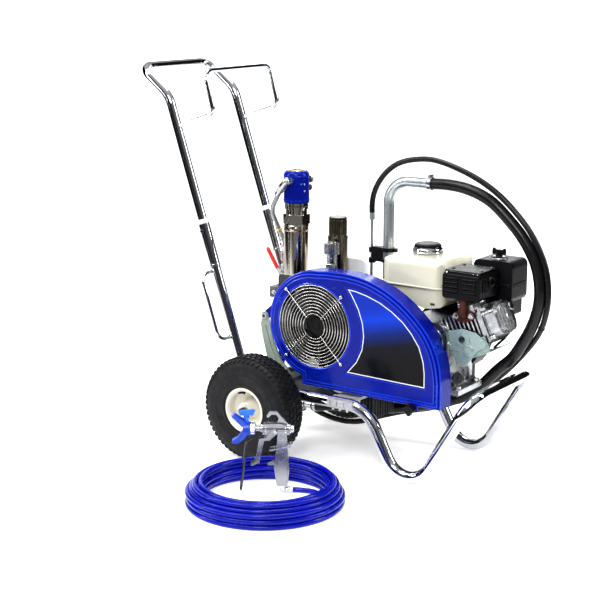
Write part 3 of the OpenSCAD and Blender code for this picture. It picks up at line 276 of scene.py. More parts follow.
# ------------------------------------------------------------------ mesh tools, all in working millimetres
def frames(pts, up=None):
    pts = [Vector(p) for p in pts]
    n = len(pts)
    T = [(pts[min(i + 1, n - 1)] - pts[max(i - 1, 0)]).normalized() for i in range(n)]
    if up is None:
        up = Vector((0, 0, 1)) if abs(T[0].z) < 0.9 else Vector((0, 1, 0))
    f = (Vector(up) - T[0] * Vector(up).dot(T[0])).normalized()
    F = [f]
    for i in range(1, n):
        f = F[-1] - T[i] * F[-1].dot(T[i])
        F.append(f.normalized())
    return pts, T, F


def catmull(p, k):
    p = [Vector(q) for q in p]
    out = []
    for i in range(len(p) - 1):
        a, b, c, d = p[max(0, i - 1)], p[i], p[i + 1], p[min(len(p) - 1, i + 2)]
        for j in range(k):
            t = j / k
            out.append(0.5 * ((2 * b) + (c - a) * t + (2 * a - 5 * b + 4 * c - d) * t * t + (3 * b - a - 3 * c + d) * t ** 3))
    out.append(p[-1])
    return out


def bent_path(p, rr, seg=10):
    """corner points with bend radii, as a rounded polyline"""
    p = [Vector(q) for q in p]
    out = [p[0]]
    for i in range(1, len(p) - 1):
        u, v = (p[i] - p[i - 1]).normalized(), (p[i + 1] - p[i]).normalized()
        ang = math.acos(max(-1, min(1, u.dot(v))))
        if ang < 1e-4:
            out.append(p[i]); continue
        t = rr[i - 1] * math.tan(ang / 2)
        w = (v - u * u.dot(v)).normalized()
        s = p[i] - u * t
        c = s + w * rr[i - 1]
        for j in range(seg + 1):
            a = ang * j / seg
            out.append(c - w * rr[i - 1] * math.cos(a) + u * rr[i - 1] * math.sin(a))
    out.append(p[-1])
    return out


class Mesh:
    def __init__(self):
        self.v, self.f, self.mi, self.mats = [], [], [], []
        self.cur = 0
        self.X = Matrix.Identity(4)

    def mat(self, name):
        if name not in self.mats:
            self.mats.append(name)
        self.cur = self.mats.index(name)
        return self

    def at(self, X=None):
        self.X = X if X is not None else Matrix.Identity(4)
        return self

    def add(self, vs, fs):
        b = len(self.v)
        self.v += [self.X @ Vector(q) for q in vs]
        self.f += [[b + i for i in f] for f in fs]
        self.mi += [self.cur] * len(fs)
        return self

    def ringed(self, rings, closed_u=True, cap0=True, cap1=True, closed_v=False):
        """faces between successive rings of equal length"""
        n = len(rings[0])
        vs = [q for r in rings for q in r]
        fs = []
        m_ = len(rings)
        for i in range(m_ if closed_v else m_ - 1):
            j = (i + 1) % m_
            for k in range(n if closed_u else n - 1):
                l = (k + 1) % n
                fs.append([i * n + k, j * n + k, j * n + l, i * n + l][::-1])
        if not closed_v and closed_u:
            if cap0:
                fs.append(list(range(n)))
            if cap1:
                fs.append([(m_ - 1) * n + k for k in range(n)][::-1])
        return self.add(vs, fs)

    def tube(self, pts, r, n=20, cap=True, up=None, squash=None):
        pts, T, F = frames(pts, up)
        rr = r if isinstance(r, (list, tuple)) else [r] * len(pts)
        rings = []
        for p, t, f, q in zip(pts, T, F, rr):
            b = t.cross(f)
            sq = squash or (1, 1)
            rings.append([p + f * (q * sq[0] * math.cos(2 * math.pi * k / n)) + b * (q * sq[1] * math.sin(2 * math.pi * k / n)) for k in range(n)])
        return self.ringed(rings, cap0=cap, cap1=cap)

    def lathe(self, prof, o, axis=(0, 0, 1), n=64, closed=False, wave=None):
        """profile of (radius, height) along an axis through o"""
        a = Vector(axis).normalized()
        x = Vector((1, 0, 0)) if abs(a.x) < 0.9 else Vector((0, 1, 0))
        x = (x - a * x.dot(a)).normalized()
        y = a.cross(x)
        o = Vector(o)
        rings = []
        for r, h in prof:
            rr = max(r, 1e-4)
            rings.append([o + a * h + x * (rr * math.cos(2 * math.pi * k / n)) + y * (rr * math.sin(2 * math.pi * k / n)) for k in range(n)])
        return self.ringed([list(r_) for r_ in rings], cap0=not closed, cap1=not closed, closed_v=closed)

    def box(self, x0, x1, y0, y1, z0, z1):
        vs = [(x, y, z) for x in (x0, x1) for y in (y0, y1) for z in (z0, z1)]
        return self.add(vs, [[0, 1, 3, 2], [4, 6, 7, 5], [0, 4, 5, 1], [2, 3, 7, 6], [0, 2, 6, 4], [1, 5, 7, 3]])

    def prism(self, poly, h0, h1, plane="xz"):
        """polygon extruded: plane xz is extruded along y, xy along z, yz along x"""
        n = len(poly)
        def P3(a, b, h):
            return {"xz": (a, h, b), "xy": (a, b, h), "yz": (h, a, b)}[plane]
        vs = [P3(a, b, h0) for a, b in poly] + [P3(a, b, h1) for a, b in poly]
        fs = [list(range(n)), [n + i for i in range(n)][::-1]]
        fs += [[i, n + i, n + (i + 1) % n, (i + 1) % n] for i in range(n)]
        return self.add(vs, fs)

    def hexhead(self, o, axis, af, h, wash=True, n=6):
        a = Vector(axis).normalized()
        r = af / math.sqrt(3)
        if wash:
            self.lathe([(af * 0.36, 0), (af * 0.72, 0), (af * 0.72, 1.2), (af * 0.36, 1.2)], o, axis, 28)
            o = Vector(o) + a * 1.2
        self.lathe([(r, 0), (r, h * 0.8), (r * 0.84, h)], o, axis, n)
        return self

    def make(self, name, body, replaces=(), bevel=0, seg=2, sub=0, slot=None, angle=35, smooth=True, weld=True, solid=0):
        me = bpy.data.meshes.new(name)
        me.from_pydata([tuple(W(q)) for q in self.v], [], self.f)
        for nm in self.mats:
            me.materials.append(M[nm])
        me.polygons.foreach_set("material_index", self.mi)
        bm = bmesh.new(); bm.from_mesh(me)
        if weld:
            bmesh.ops.remove_doubles(bm, verts=bm.verts, dist=2e-6)
            bmesh.ops.dissolve_degenerate(bm, dist=1e-6, edges=bm.edges)
        bmesh.ops.recalc_face_normals(bm, faces=bm.faces)
        for e in bm.edges:
            if len(e.link_faces) == 2:
                e.smooth = e.calc_face_angle(0) < math.radians(angle)
            else:
                e.smooth = False
        for f in bm.faces:
            f.smooth = smooth
        bm.to_mesh(me); bm.free()
        ob = bpy.data.objects.new(name, me)
        bpy.context.scene.collection.objects.link(ob)
        if solid:
            md = ob.modifiers.new("solid", "SOLIDIFY"); md.thickness = solid / 1000; md.offset = -1
        if bevel:
            md = ob.modifiers.new("bevel", "BEVEL"); md.width = bevel / 1000; md.segments = seg
            md.limit_method = "ANGLE"; md.angle_limit = math.radians(angle); md.use_clamp_overlap = True
            md.harden_normals = False
            wn = ob.modifiers.new("wn", "WEIGHTED_NORMAL"); wn.keep_sharp = False; wn.weight = 60
        if sub:
            md = ob.modifiers.new("sub", "SUBSURF"); md.levels = sub; md.render_levels = sub
        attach(ob, body)
        if replaces:
            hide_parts(*replaces)
        return ob


def dress(node, mat, bevel=0.8, seg=2, angle=30):
    """a CAD node keeps its shape, and gets a finish and eased edges"""
    o = NODES[node]
    o.data.materials.clear()
    o.data.materials.append(M[mat])
    for p in o.data.polygons:
        p.use_smooth = True
        p.material_index = 0
    w = o.modifiers.new("weld", "WELD"); w.merge_threshold = 0.00002
    if bevel:
        md = o.modifiers.new("bevel", "BEVEL"); md.width = bevel / 1000; md.segments = seg
        md.limit_method = "ANGLE"; md.angle_limit = math.radians(angle); md.use_clamp_overlap = True
    wn = o.modifiers.new("wn", "WEIGHTED_NORMAL"); wn.keep_sharp = False; wn.weight = 50
    return o


def rrect(cx, cz, w, h, r, n=6):
    out = []
    for sx, sz, a0 in ((1, 1, 0), (-1, 1, 90), (-1, -1, 180), (1, -1, 270)):
        for i in range(n + 1):
            a = math.radians(a0 + 90 * i / n)
            out.append((cx + sx * (w / 2 - r) + r * math.cos(a), cz + sz * (h / 2 - r) + r * math.sin(a)))
    return out


def rotX(origin, axis, deg):
    return Matrix.Translation(Vector(origin)) @ Matrix.Rotation(math.radians(deg), 4, Vector(axis)) @ Matrix.Translation(-Vector(origin))


# ------------------------------------------------------------------ hoses, routes as in the CAD source
def hose_curve(name, pts, d, mat, body, res=6):
    cu = bpy.data.curves.new(name, "CURVE")
    cu.dimensions = "3D"
    sp = cu.splines.new("POLY")
    sp.points.add(len(pts) - 1)
    for q, p in zip(sp.points, pts):
        w = W(p)
        q.co = (w.x, w.y, w.z, 1)
    cu.bevel_depth = d / 2000.0
    cu.bevel_resolution = res
    cu.use_fill_caps = True
    cu.materials.append(M[mat])
    for s in cu.splines:
        s.use_smooth = True
    ob = bpy.data.objects.new(name, cu)
    bpy.context.scene.collection.objects.link(ob)
    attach(ob, body)
    return ob


def eased(pts, n=30):
    """takes the small kinks out of a route without pulling it in"""
    p = [Vector(q) for q in pts]
    for k in range(n):
        for f in (0.5, -0.53):
            p = p[:2] + [p[i] + ((p[i - 1] + p[i + 1]) / 2 - p[i]) * f for i in range(2, len(p) - 2)] + p[-2:]
    return p


SUCTION = [(332.3, 60, 733), (350, 60, 733), (386, 60, 734), (444, 60, 728), (509, 60, 705), (559, 60, 666),
           (603, 60, 622), (636, 60, 573), (654, 60, 523), (658, 60, 462), (641, 61, 398), (611, 65, 343),
           (582, 70, 301), (547, 74, 269), (517, 77, 238), (489, 78, 210), (437, 78, 171), (386, 77, 152),
           (342, 75, 136), (282, 71, 120), (243, 68, 111), (183, 62, 99), (127, 54, 94), (72, 47, 92), (32, 41, 87),
           (8, 40, 81), (-13.4, 40, 80)]
DRAIN = [(162, 60, 640.9), (162, 60, 664), (170, 60, 700), (196, 60, 742), (240, 60, 777), (296, 60, 792),
         (350, 60, 794), (410, 60, 780), (470, 62, 757), (528, 62, 725), (580, 62, 683), (627, 62, 632),
         (660, 62, 576), (676.5, 62, 525), (680.5, 62, 460), (664, 66, 392), (628, 84, 340), (590, 96, 296),
         (552, 104, 256), (508, 106, 216), (452, 106, 176), (392, 105, 140), (328, 102, 116), (266, 100, 98),
         (226, 98, 86), (163, 95, 63), (123, 92, 46), (81, 90, 36), (35, 88, 35), (-16, 88, 43), (-54, 88, 58),
         (-80, 88, 90), (-92, 90, 140), (-92, 90, 200), (-80, 90, 260), (-62, 88, 302), (-38, 77, 335),
         (-23, 69, 355), (-20, 68, 369), (-20, 68, 379.6)]
LEAD = [(-128, 60, 351.6), (-128, 60, 300), (-130, 58, 200), (-134, 50, 112), (-129, 30, 48), (-108, -4, 14),
        (-70, -52, 6.6), (-20, -115, 6.6), (30, -178, 6.6), (60, -235, 6.6), (62, -290, 6.6), (44, -345, 6.6),
        (20, -379, 6.6), (12, -404, 6.6)]
GUN_LEAD = [(219.2, -388.1, 8.2), (232, -380.2, 7.6), (249, -372.5, 6.8), (270, -369, 6.6), (292, -376, 6.6),
            (312, -390, 6.6), (328, -409, 6.6), (338, -431, 6.6), (343, -455, 6.6)]
COIL_C = (200.0, -478.0)


def wind_coil():
    """the coiled hose: strands laid slot by slot, then settled against each other, so that none lies in another"""
    n, d = 60, 13.12
    rng = np.random.default_rng(11)
    lay = [6.6, 19.8, 33.0, 46.2, 59.4]
    slots = [(190.2, 0), (176.6, 0), (175.6, 1), (189.8, 1), (186.6, 2), (172.6, 2), (177.2, 3), (171.0, 4),
             (157.8, 4), (162.6, 3), (159.2, 2), (161.0, 1), (162.6, 0), (161.0, 0)]
    a0 = math.atan2(-404 - COIL_C[1], 12 - COIL_C[0])
    a1 = math.atan2(-455 - COIL_C[1], 343 - COIL_C[0]) + 2 * math.pi
    turns = 12 + (a1 - a0) / (2 * math.pi)
    total = int(round(turns * n)) + 1
    t = np.arange(total) / n
    i = np.minimum(t.astype(int), 12)
    at = np.where(i == 11, 0.7, 0.55)
    s = np.clip((t - i - at) / (1 - at), 0, 1)
    s = s * s * (3 - 2 * s)
    R = np.array([q[0] for q in slots]); Z = np.array([lay[q[1]] for q in slots])
    r = R[i] * (1 - s) + R[i + 1] * s
    z = Z[i] * (1 - s) + Z[i + 1] * s
    # each turn is a little off centre
    for k in range(13):
        on = i == k
        r[on] += 1.6 * rng.uniform(0.3, 1) * np.sin(2 * math.pi * t[on] + rng.uniform(0, 6.28))
    r0, z0 = r.copy(), z.copy()
    T = int(math.ceil(total / n))
    idx = np.arange(T * n).reshape(T, n)
    ok = idx < total
    g = np.exp(-0.5 * (np.arange(-6, 7) / 2.4) ** 2); g /= g.sum()
    for it in range(900):
        rr = np.where(ok, np.append(r, np.zeros(T * n - total)).reshape(T, n), 1e4 + 50 * idx)
        zz = np.where(ok, np.append(z, np.zeros(T * n - total)).reshape(T, n), 0)
        dr = rr[:, None] - rr[None]; dz = zz[:, None] - zz[None]
        dist = np.sqrt(dr * dr + dz * dz) + 1e-9
        over = np.clip(d - dist, 0, None)
        over[np.arange(T), np.arange(T)] = 0
        pr = (over * dr / dist).sum(1) * 0.45
        pz = (over * dz / dist).sum(1) * 0.45
        r = r + pr.reshape(-1)[:total]
        z = z + pz.reshape(-1)[:total]
        if it < 820:
            z -= 0.06
            r += 0.01 * (r0 - r)
            for a in (r, z):
                pad = np.concatenate([np.full(6, a[0]), a, np.full(6, a[-1])])
                a += 0.35 * (np.convolve(pad, g, "valid") - a)
        z = np.maximum(z, 6.55)
        r = np.clip(r, 157.0, 190.6)
    # the two ends leave the coil
    e = np.clip(1 - t / 0.09, 0, 1); e = e * e * (3 - 2 * e)
    r = r + e * (math.hypot(12 - COIL_C[0], -404 - COIL_C[1]) - r[0])
    z = z * (1 - e) + 6.6 * e
    e = np.clip(1 - (t[-1] - t) / 0.16, 0, 1); e = e * e * (3 - 2 * e)
    r = r + e * (math.hypot(343 - COIL_C[0], -455 - COIL_C[1]) - r[-1])
    z = z * (1 - e) + 6.6 * e
    th = a0 + 2 * math.pi * t
    th[-1] = a1
    return [(COIL_C[0] + a * math.cos(b), COIL_C[1] + a * math.sin(b), c) for a, b, c in zip(r, th, z)]


hose_pts = catmull(LEAD, 4)[:-1] + [Vector(q) for q in wind_coil()]
gun_end = catmull(GUN_LEAD, 4)
hose_pts += gun_end[::-1][1:]
spray_hose = hose_curve("spray_hose", hose_pts, 13.0, "hose_blue", "cart", 6)
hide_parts("hose_coil", "hose_lead")

suction = hose_curve("suction_hose_skin", eased(catmull(SUCTION, 5)), 30.0, "hose_black", "cart", 8)
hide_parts("suction_hose")
drain = hose_curve("drain_hose_skin", eased(catmull(DRAIN, 4), 12), 15.0, "hose_black", "cart", 6)
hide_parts("drain_hose")


# the crimped fitting where the hose leaves the pump
m_ = Mesh().mat("zinc")
m_.lathe([(6.7, 0), (7.6, 0.6), (7.6, 14), (8.6, 15), (8.6, 17), (7.4, 18), (7.4, 20), (8.6, 21), (8.6, 24), (7.2, 25.5), (7.2, 30), (6.7, 30)], (-128, 60, 351.4), (0, 0, -1), 36)
outlet_fitting = m_.make("outlet_ferrule", "cart", bevel=0.3)


# ------------------------------------------------------------------ CAD nodes that keep their shape
for node, mat, bev in [
    ("leg_frame", "chrome", 0.4), ("axle", "dark_steel", 0.6), ("fasteners", "zinc", 0.5), ("deck", "black_paint", 1.0),
    ("tube_clamps", "speckled", 1.6), ("lower_uprights", "chrome", 0.4), ("upright_collars", "white_nylon", 1.5),
    ("upper_handle", "chrome", 0.5), ("guard_bracket", "sage", 0.8), ("v_belt", "rubber", 0.8),
    # the reservoir's plastic carries a painted glow
    ("oil_reservoir", "milky_with_painted_glow", 2.5), ("hydraulic_pump", "black_gloss", 1.5), ("oil_cooler", "black_casting", 0.8),
    ("motor_cap", "blue_paint", 2.2), ("motor_cylinder", "nickel", 1.2), ("fluid_pump", "zinc_tube", 1.2),
    ("intake_valve", "zinc", 1.2), ("fluid_manifold", "grey_casting", 3.0), ("filter_bowl", "bronze", 1.2),
    ("hydraulic_lines", "zinc", 0.8), ("ball_valve", "zinc", 1.0), ("suction_tube", "satin_tube", 0.6),
    ("drain_tube", "satin_tube", 0.5), ("tube_clips", "black_plastic", 0.8), ("engine_block", "cast_alu", 1.0),
    ("valve_cover", "cast_alu", 2.0), ("lower_shroud", "teal", 1.0), ("recoil_cover", "black_plastic", 3.0),
    ("fuel_tank", "cream", 2.5), ("muffler", "black_gloss", 1.5), ("air_cleaner", "black_plastic", 2.5),
    ("carburettor", "cast_alu", 1.5), ("near_rim", "cream_rim", 1.0), ("near_tyre", "tyre", 1.5),
    ("far_rim", "cream_rim", 1.0), ("far_tyre", "tyre", 1.5), ("belt_guard", "blue_paint", 1.0),
    ("fan_grille", "wire", 0.0), ("guard_knob", "black_plastic", 2.0), ("fan_pulley", "black_plastic", 0.8),
    ("engine_pulley", "dark_steel", 1.0), ("piston_rod", "bright_rod", 0.6), ("filter_cap", "bronze", 0.8),
    ("pressure_knob", "zinc", 0.8), ("valve_lever", "red_vinyl", 1.2), ("prime_handle", "black_plastic", 1.5),
    ("fuel_cap", "chrome", 1.2), ("air_cleaner_knob", "black_plastic", 1.2), ("starter_grip", "black_plastic", 1.5),
    ("throttle_lever", "dark_steel", 0.5), ("choke_lever", "black_plastic", 0.5), ("gun_body", "gun_alu", 1.5),
    ("gun_trigger", "gun_alu", 1.0), ("trigger_lock", "zinc", 0.6), ("tip_guard", "blue_plastic", 0.8),
    ("spray_tip", "tip_blue", 0.8),
]:
    dress(node, mat, bev)


# ------------------------------------------------------------------ helpers for the added pieces
def piece(m_, name, body, slot, replaces=(), **kw):
    return m_.make(name, body, replaces=replaces, slot=slot, **kw)


def dome(m_, o, axis, r, h, n=24):
    prof = [(r * math.cos(a), h * math.sin(a)) for a in [i * math.pi / 2 / 6 for i in range(7)]]
    return m_.lathe([(r, -0.4)] + prof, o, axis, n)


def screw(m_, o, axis, r=4.0, h=2.4):
    """a pan head with a recess"""
    m_.lathe([(r, 0), (r, h * 0.45), (r * 0.86, h * 0.85), (r * 0.5, h), (r * 0.34, h), (r * 0.28, h * 0.35), (0.01, h * 0.35)], o, axis, 24)


def bolt(m_, o, axis, af=10, h=6):
    m_.hexhead(o, axis, af, h)
    a = Vector(axis).normalized()
    m_.lathe([(af * 0.30, 0), (af * 0.27, 0.5), (0.01, 0.5)], Vector(o) + a * (1.2 + h), axis, 20)


# ------------------------------------------------------------------ wheels
AXX, AXZ = -22.0, 140.5
for side, s in (("near", -1), ("far", 1)):
    c = (AXX, s * 227.0, AXZ)
    ax = (0, s, 0)
    # tyre: carcass with a rounded sidewall, a moulded rim ring, and blocks in staggered rows
    m_ = Mesh().mat("tyre")
    prof = [(54.3, 35.8), (60.2, 39.6), (62, 41.6), (66, 42.8), (68.5, 44.4), (71, 43.4), (74, 43.2), (80, 44.2), (86, 44.9), (91, 45.0), (92.2, 45.9), (94, 45.9), (95.2, 45.1),
            (104, 45.2), (112, 44.2), (120, 42.2), (127, 38.6), (132, 34), (135.4, 27), (136.8, 18), (137.2, 8)]
    ring_ = [(r, h) for r, h in prof] + [(r, -h) for r, h in reversed(prof)]
    m_.lathe(ring_ , c, ax, 128, closed=True)
    rows = [(-34.5, 12, 33.2, 133.0), (-21.5, 10, 22, 136.2), (-7.4, 10.5, 7, 137.0), (7.4, 10.5, 7, 137.0), (21.5, 10, 22, 136.2), (34.5, 12, 33.2, 133.0)]
    nb = 54
    for ri, (h, wd, _, rbase) in enumerate(rows):
        for k in range(nb):
            a = 2 * math.pi * (k + (0.5 if ri % 2 else 0.0)) / nb
            slant = 0.22 * (1 if ri % 2 else -1)
            tilt = math.atan2(abs(h) - 24, 30) if abs(h) > 30 else 0.0
            top = 140.3 if abs(h) < 30 else 137.6
            vs = []
            for rr_, sh in ((rbase - 2.0, 1.0), (top, 0.86)):
                for da, dh in ((-1, -1), (1, -1), (1, 1), (-1, 1)):
                    hh = h + dh * wd / 2 * sh
                    aa = a + (da * 5.9 * sh + slant * dh * wd * 0.5) / 140.0
                    drop = max(0.0, abs(hh) - 26) * 0.42
                    rad = rr_ - drop
                    u = Vector((math.cos(aa), 0, math.sin(aa)))
                    vs.append(Vector(c) + u * rad + Vector((0, hh, 0)))
            m_.add(vs, [[0, 1, 2, 3], [7, 6, 5, 4], [0, 4, 5, 1], [1, 5, 6, 2], [2, 6, 7, 3], [3, 7, 4, 0]])
    # shoulder lugs running down the sidewall
    for s2 in (-1, 1):
        for k in range(nb):
            a = 2 * math.pi * (k + 0.25) / nb
            vs = []
            for (rad, hh, ht) in ((131.5, 34.6, 2.2), (118.0, 42.0, 1.0)):
                for da in (-1, 1):
                    for lift in (-1.0, ht):
                        aa = a + da * 3.2 / 130.0
                        u = Vector((math.cos(aa), 0, math.sin(aa)))
                        vs.append(Vector(c) + u * (rad + lift * 0.55) + Vector((0, s2 * (hh + lift * 0.75), 0)))
            m_.add(vs, [[0, 1, 3, 2], [4, 6, 7, 5], [0, 4, 5, 1], [2, 3, 7, 6], [1, 5, 7, 3], [0, 2, 6, 4]])
    piece(m_, side + "_tyre_turf", side + "_wheel", "tyre", replaces=(side + "_tyre",), bevel=0.5, seg=1, angle=40)
    # bead of the rim, weld ring, valve
    m_ = Mesh().mat("cream_rim")
    for h in (42.6, -42.6):
        m_.lathe([(58.6, h - 1.3), (60.3, h - 0.9), (61.0, h), (60.3, h + 0.9), (58.6, h + 1.1), (56.8, h + 0.6), (56.2, h - 0.6)], c, ax, 96, closed=True)
    m_.lathe([(17.6, 15.5), (19.2, 16.6), (20.8, 19.0), (20.2, 21), (19.6, 18)], c, ax, 48, closed=True)
    piece(m_, side + "_rim_beads", side + "_wheel", "cream_paint", bevel=0)
    m_ = Mesh().mat("black_plastic")
    va = math.radians(118)
    vo = Vector(c) + Vector((44 * math.cos(va), s * 13.0, 44 * math.sin(va)))
    m_.lathe([(3.6, -3), (4.6, 0), (4.2, 2), (3.0, 4), (2.9, 14), (3.6, 15), (3.6, 22), (2.6, 23.5), (0.01, 23.5)], vo, (0.25 * math.cos(va), s, 0.25 * math.sin(va)), 20)
    piece(m_, side + "_valve_stem", side + "_wheel", "black_plastic", bevel=0.2)
    # hub bush and the cap pushed on the axle
    m_ = Mesh().mat("zinc")
    m_.lathe([(9.9, 43.4), (15.6, 43.4), (16.2, 43.0), (16.2, 40.0), (19.4, 39.0)], c, ax, 40)
    piece(m_, side + "_hub_face", side + "_wheel", "zinc", bevel=0.3)


# ------------------------------------------------------------------ belt guard
GX = [60, 118, 175, 227, 280, 330, 375, 415, 450, 474, 489, 495]
GZ = [482, 507.5, 512, 511, 502, 484, 459, 428, 392, 354, 312, 268]
GPOLY = np.array([(495.0, 100.0)] + [(q.x, q.z) for q in reversed(catmull([(x, 0, z) for x, z in zip(GX, GZ)], 4))] + [(60.0, 100.0)])


def guard_in(P, d):
    """which of the points lie inside the outline pulled in by d"""
    a, b = GPOLY, np.roll(GPOLY, -1, 0)
    ab = b - a
    ap = P[:, None] - a[None]
    t = np.clip((ap * ab).sum(2) / (ab * ab).sum(1), 0, 1)
    dist = np.linalg.norm(ap - t[..., None] * ab, axis=2).min(1)
    up = (a[None, :, 1] > P[:, None, 1]) != (b[None, :, 1] > P[:, None, 1])
    xx = a[None, :, 0] + (P[:, None, 1] - a[None, :, 1]) / np.where(ab[:, 1] == 0, 1e-9, ab[:, 1])[None] * ab[None, :, 0]
    ins = (np.sum(up & (P[:, None, 0] < xx), 1) % 2) == 1
    body = ins & (dist >= d) & (P[:, 0] >= 77 + d) & (P[:, 1] >= 200 + d)
    return body | (np.hypot(P[:, 0] - 118, P[:, 1] - 364) <= 145 - d)


def outline(d, n=360):
    c = np.array([240.0, 335.0])
    a = np.linspace(0, 2 * math.pi, n, endpoint=False)
    extra = [math.atan2(z - c[1], x - c[0]) for x, z in ((495 - d, 200 + d), (77 + d, 200 + d))]
    a = np.sort(np.concatenate([a, np.mod(extra, 2 * math.pi)]))
    u = np.stack([np.cos(a), np.sin(a)], 1)
    lo, hi = np.full(len(a), 60.0), np.full(len(a), 420.0)
    for _ in range(30):
        mid = (lo + hi) / 2
        inn = guard_in(c + u * mid[:, None], d)
        lo, hi = np.where(inn, mid, lo), np.where(inn, hi, mid)
    return [(float(x), float(z)) for x, z in c + u * lo[:, None]]


# pressed beads round the guard's face: real beads, drawn in the lighter blue as painted highlight lines
m_ = Mesh().mat("blue_painted_highlight")
for d, y, r in ((15.6, -149.3, 1.7), (7.4, -146.4, 1.9), (0.9, -141.0, 2.2)):
    o_ = outline(d)
    m_.tube([(x, y, z) for x, z in o_ + o_[:2]], r, 10, up=(0, 1, 0))
piece(m_, "guard_pressed_beads", "guard", "blue_paint", bevel=0)
# inner edge of the air opening, turned in, in the lighter blue as a painted highlight
m_ = Mesh().mat("blue_painted_highlight")
m_.lathe([(111.2, 0.2), (113.4, -0.9), (115.6, 0.2), (115.6, 1.6), (113.4, 2.4), (110.6, 3.6), (110.2, 5.6), (109.6, 5.6), (109.8, 2.6), (110.4, 1.0)], (118, -150, 364), (0, 1, 0), 128, closed=True)
piece(m_, "air_opening_lip", "guard", "blue_paint", bevel=0)

# the plain two-tone panel on the face, with its pale border
PANEL = [(222.6, 477.2), (236.2, 458.1), (254.7, 426.5), (267.1, 391.6), (271.1, 358.1), (266.4, 323.1), (250.0, 288.7), (221.4, 255.9), (454.1, 251.9), (453.8, 289.7), (449.7, 320.0), (437.2, 355.4), (414.9, 386.8), (388.3, 413.8), (355.8, 436.3), (320.2, 454.8), (281.3, 467.8), (248.1, 475.2)]


def gradient_panel():
    mt, nt, bs = new_mat("panel_film")
    tc = nt.nodes.new("ShaderNodeTexCoord")
    sp = nt.nodes.new("ShaderNodeSeparateXYZ")
    nt.links.new(tc.outputs["Object"], sp.inputs[0])
    ad = nt.nodes.new("ShaderNodeMath"); ad.operation = "MULTIPLY_ADD"
    ad.inputs[1].default_value = -0.22
    nt.links.new(sp.outputs["X"], ad.inputs[0]); nt.links.new(sp.outputs["Z"], ad.inputs[2])
    nz = tex_noise(nt, coords(nt), 24, 4)
    wob = nt.nodes.new("ShaderNodeMath"); wob.operation = "MULTIPLY_ADD"; wob.inputs[1].default_value = 0.004
    nt.links.new(nz, wob.inputs[0]); nt.links.new(ad.outputs[0], wob.inputs[2])
    f = maprange(nt, wob.outputs[0], 0.0, 1.0, 0.245, 0.40)
    col = ramp(nt, f, [(0.0, (0.006, 0.006, 0.008)), (0.30, (0.007, 0.008, 0.014)), (0.52, (0.004, 0.02, 0.16)), (0.78, (0.006, 0.05, 0.55)), (1.0, (0.006, 0.035, 0.38))])
    nt.links.new(col, bs.inputs["Base Color"])
    nt.links.new(maprange(nt, nz, 0.10, 0.18), bs.inputs["Roughness"])
    bs.inputs["Coat Weight"].default_value = 0.05
    bs.inputs["Specular IOR Level"].default_value = 0.10
    bs.inputs["Coat Roughness"].default_value = 0.05
    bumped(nt, bs, tex_noise(nt, coords(nt), 260, 3), 0.02, 0.0003)
    return mt


M["panel_film"] = gradient_panel()


def inset_poly(P, d):
    out, n = [], len(P)
    area_ = sum(P[i][0] * P[(i + 1) % n][1] - P[(i + 1) % n][0] * P[i][1] for i in range(n))
    sg = 1 if area_ > 0 else -1
    for i in range(n):
        a, b, c = Vector(P[i - 1]), Vector(P[i]), Vector(P[(i + 1) % n])
        u, v = (b - a).normalized(), (c - b).normalized()
        n1, n2 = Vector((-u.y, u.x)) * sg, Vector((-v.y, v.x)) * sg
        mm = (n1 + n2).normalized()
        q = b + mm * d / max(0.45, mm.dot(n1))
        out.append((q.x, q.y))
    return out


m_ = Mesh().mat("panel_film")
m_.prism(PANEL, -150.35, -149.8)
piece(m_, "guard_panel", "guard", "blue_paint", bevel=0)
m_ = Mesh().mat("white_print")
o0, o1 = inset_poly(PANEL, 0.4), inset_poly(PANEL, 2.9)
n_ = len(o0)
vs = [(x, -150.45, z) for x, z in o0] + [(x, -150.45, z) for x, z in o1] + [(x, -150.1, z) for x, z in o0] + [(x, -150.1, z) for x, z in o1]
fs = []
for i in range(n_):
    j = (i + 1) % n_
    fs += [[i, j, n_ + j, n_ + i], [2 * n_ + j, 2 * n_ + i, 3 * n_ + i, 3 * n_ + j], [j, i, 2 * n_ + i, 2 * n_ + j], [n_ + i, n_ + j, 3 * n_ + j, 3 * n_ + i]]
m_.add(vs, fs)
piece(m_, "guard_panel_border", "guard", "zinc", bevel=0)
# pressed step around the panel, in the lighter blue as a painted highlight
m_ = Mesh().mat("blue_painted_highlight")
oo = inset_poly(PANEL, -4.2)
m_.tube([(x, -149.9, z) for x, z in oo + oo[:2]], 1.1, 8, up=(0, 1, 0))
piece(m_, "guard_panel_step", "guard", "blue_paint", bevel=0)
# ball heads and the cross wires of the grille
m_ = Mesh().mat("zinc")
for a in (46, 134, 226, 314):
    ar = math.radians(a)
    o_ = (118 + 124 * math.cos(ar), -153.2, 364 + 124 * math.sin(ar))
    dome(m_, o_, (0, -1, 0), 5.2, 3.6)
piece(m_, "grille_clip_heads", "guard", "zinc", bevel=0)
m_ = Mesh().mat("wire")
for a in (46, 134, 226, 314):
    ar = math.radians(a)
    u = Vector((math.cos(ar), 0, math.sin(ar)))
    c0 = Vector((118, 0, 364))
    m_.tube([c0 + u * 33 + Vector((0, -151.4, 0)), c0 + u * 60 + Vector((0, -151.9, 0)), c0 + u * 108 + Vector((0, -151.6, 0)), c0 + u * 121 + Vector((0, -151.8, 0))], 1.55, 12)
piece(m_, "grille_cross_wires", "guard", "zinc", bevel=0)

# backing web of the fan in near-black, painted shade standing in for the dark inside the guard, so that nothing is seen
# between the blades
m_ = Mesh().mat("painted_shade_black")
m_.lathe([(33, -120.20), (87.00, -120.20), (87.00, -119.40), (33, -119.40)], (118, 0, 364), (0, 1, 0), 96, closed=True)
piece(m_, "fan_web_shade", "fan", "black_casting", bevel=0)

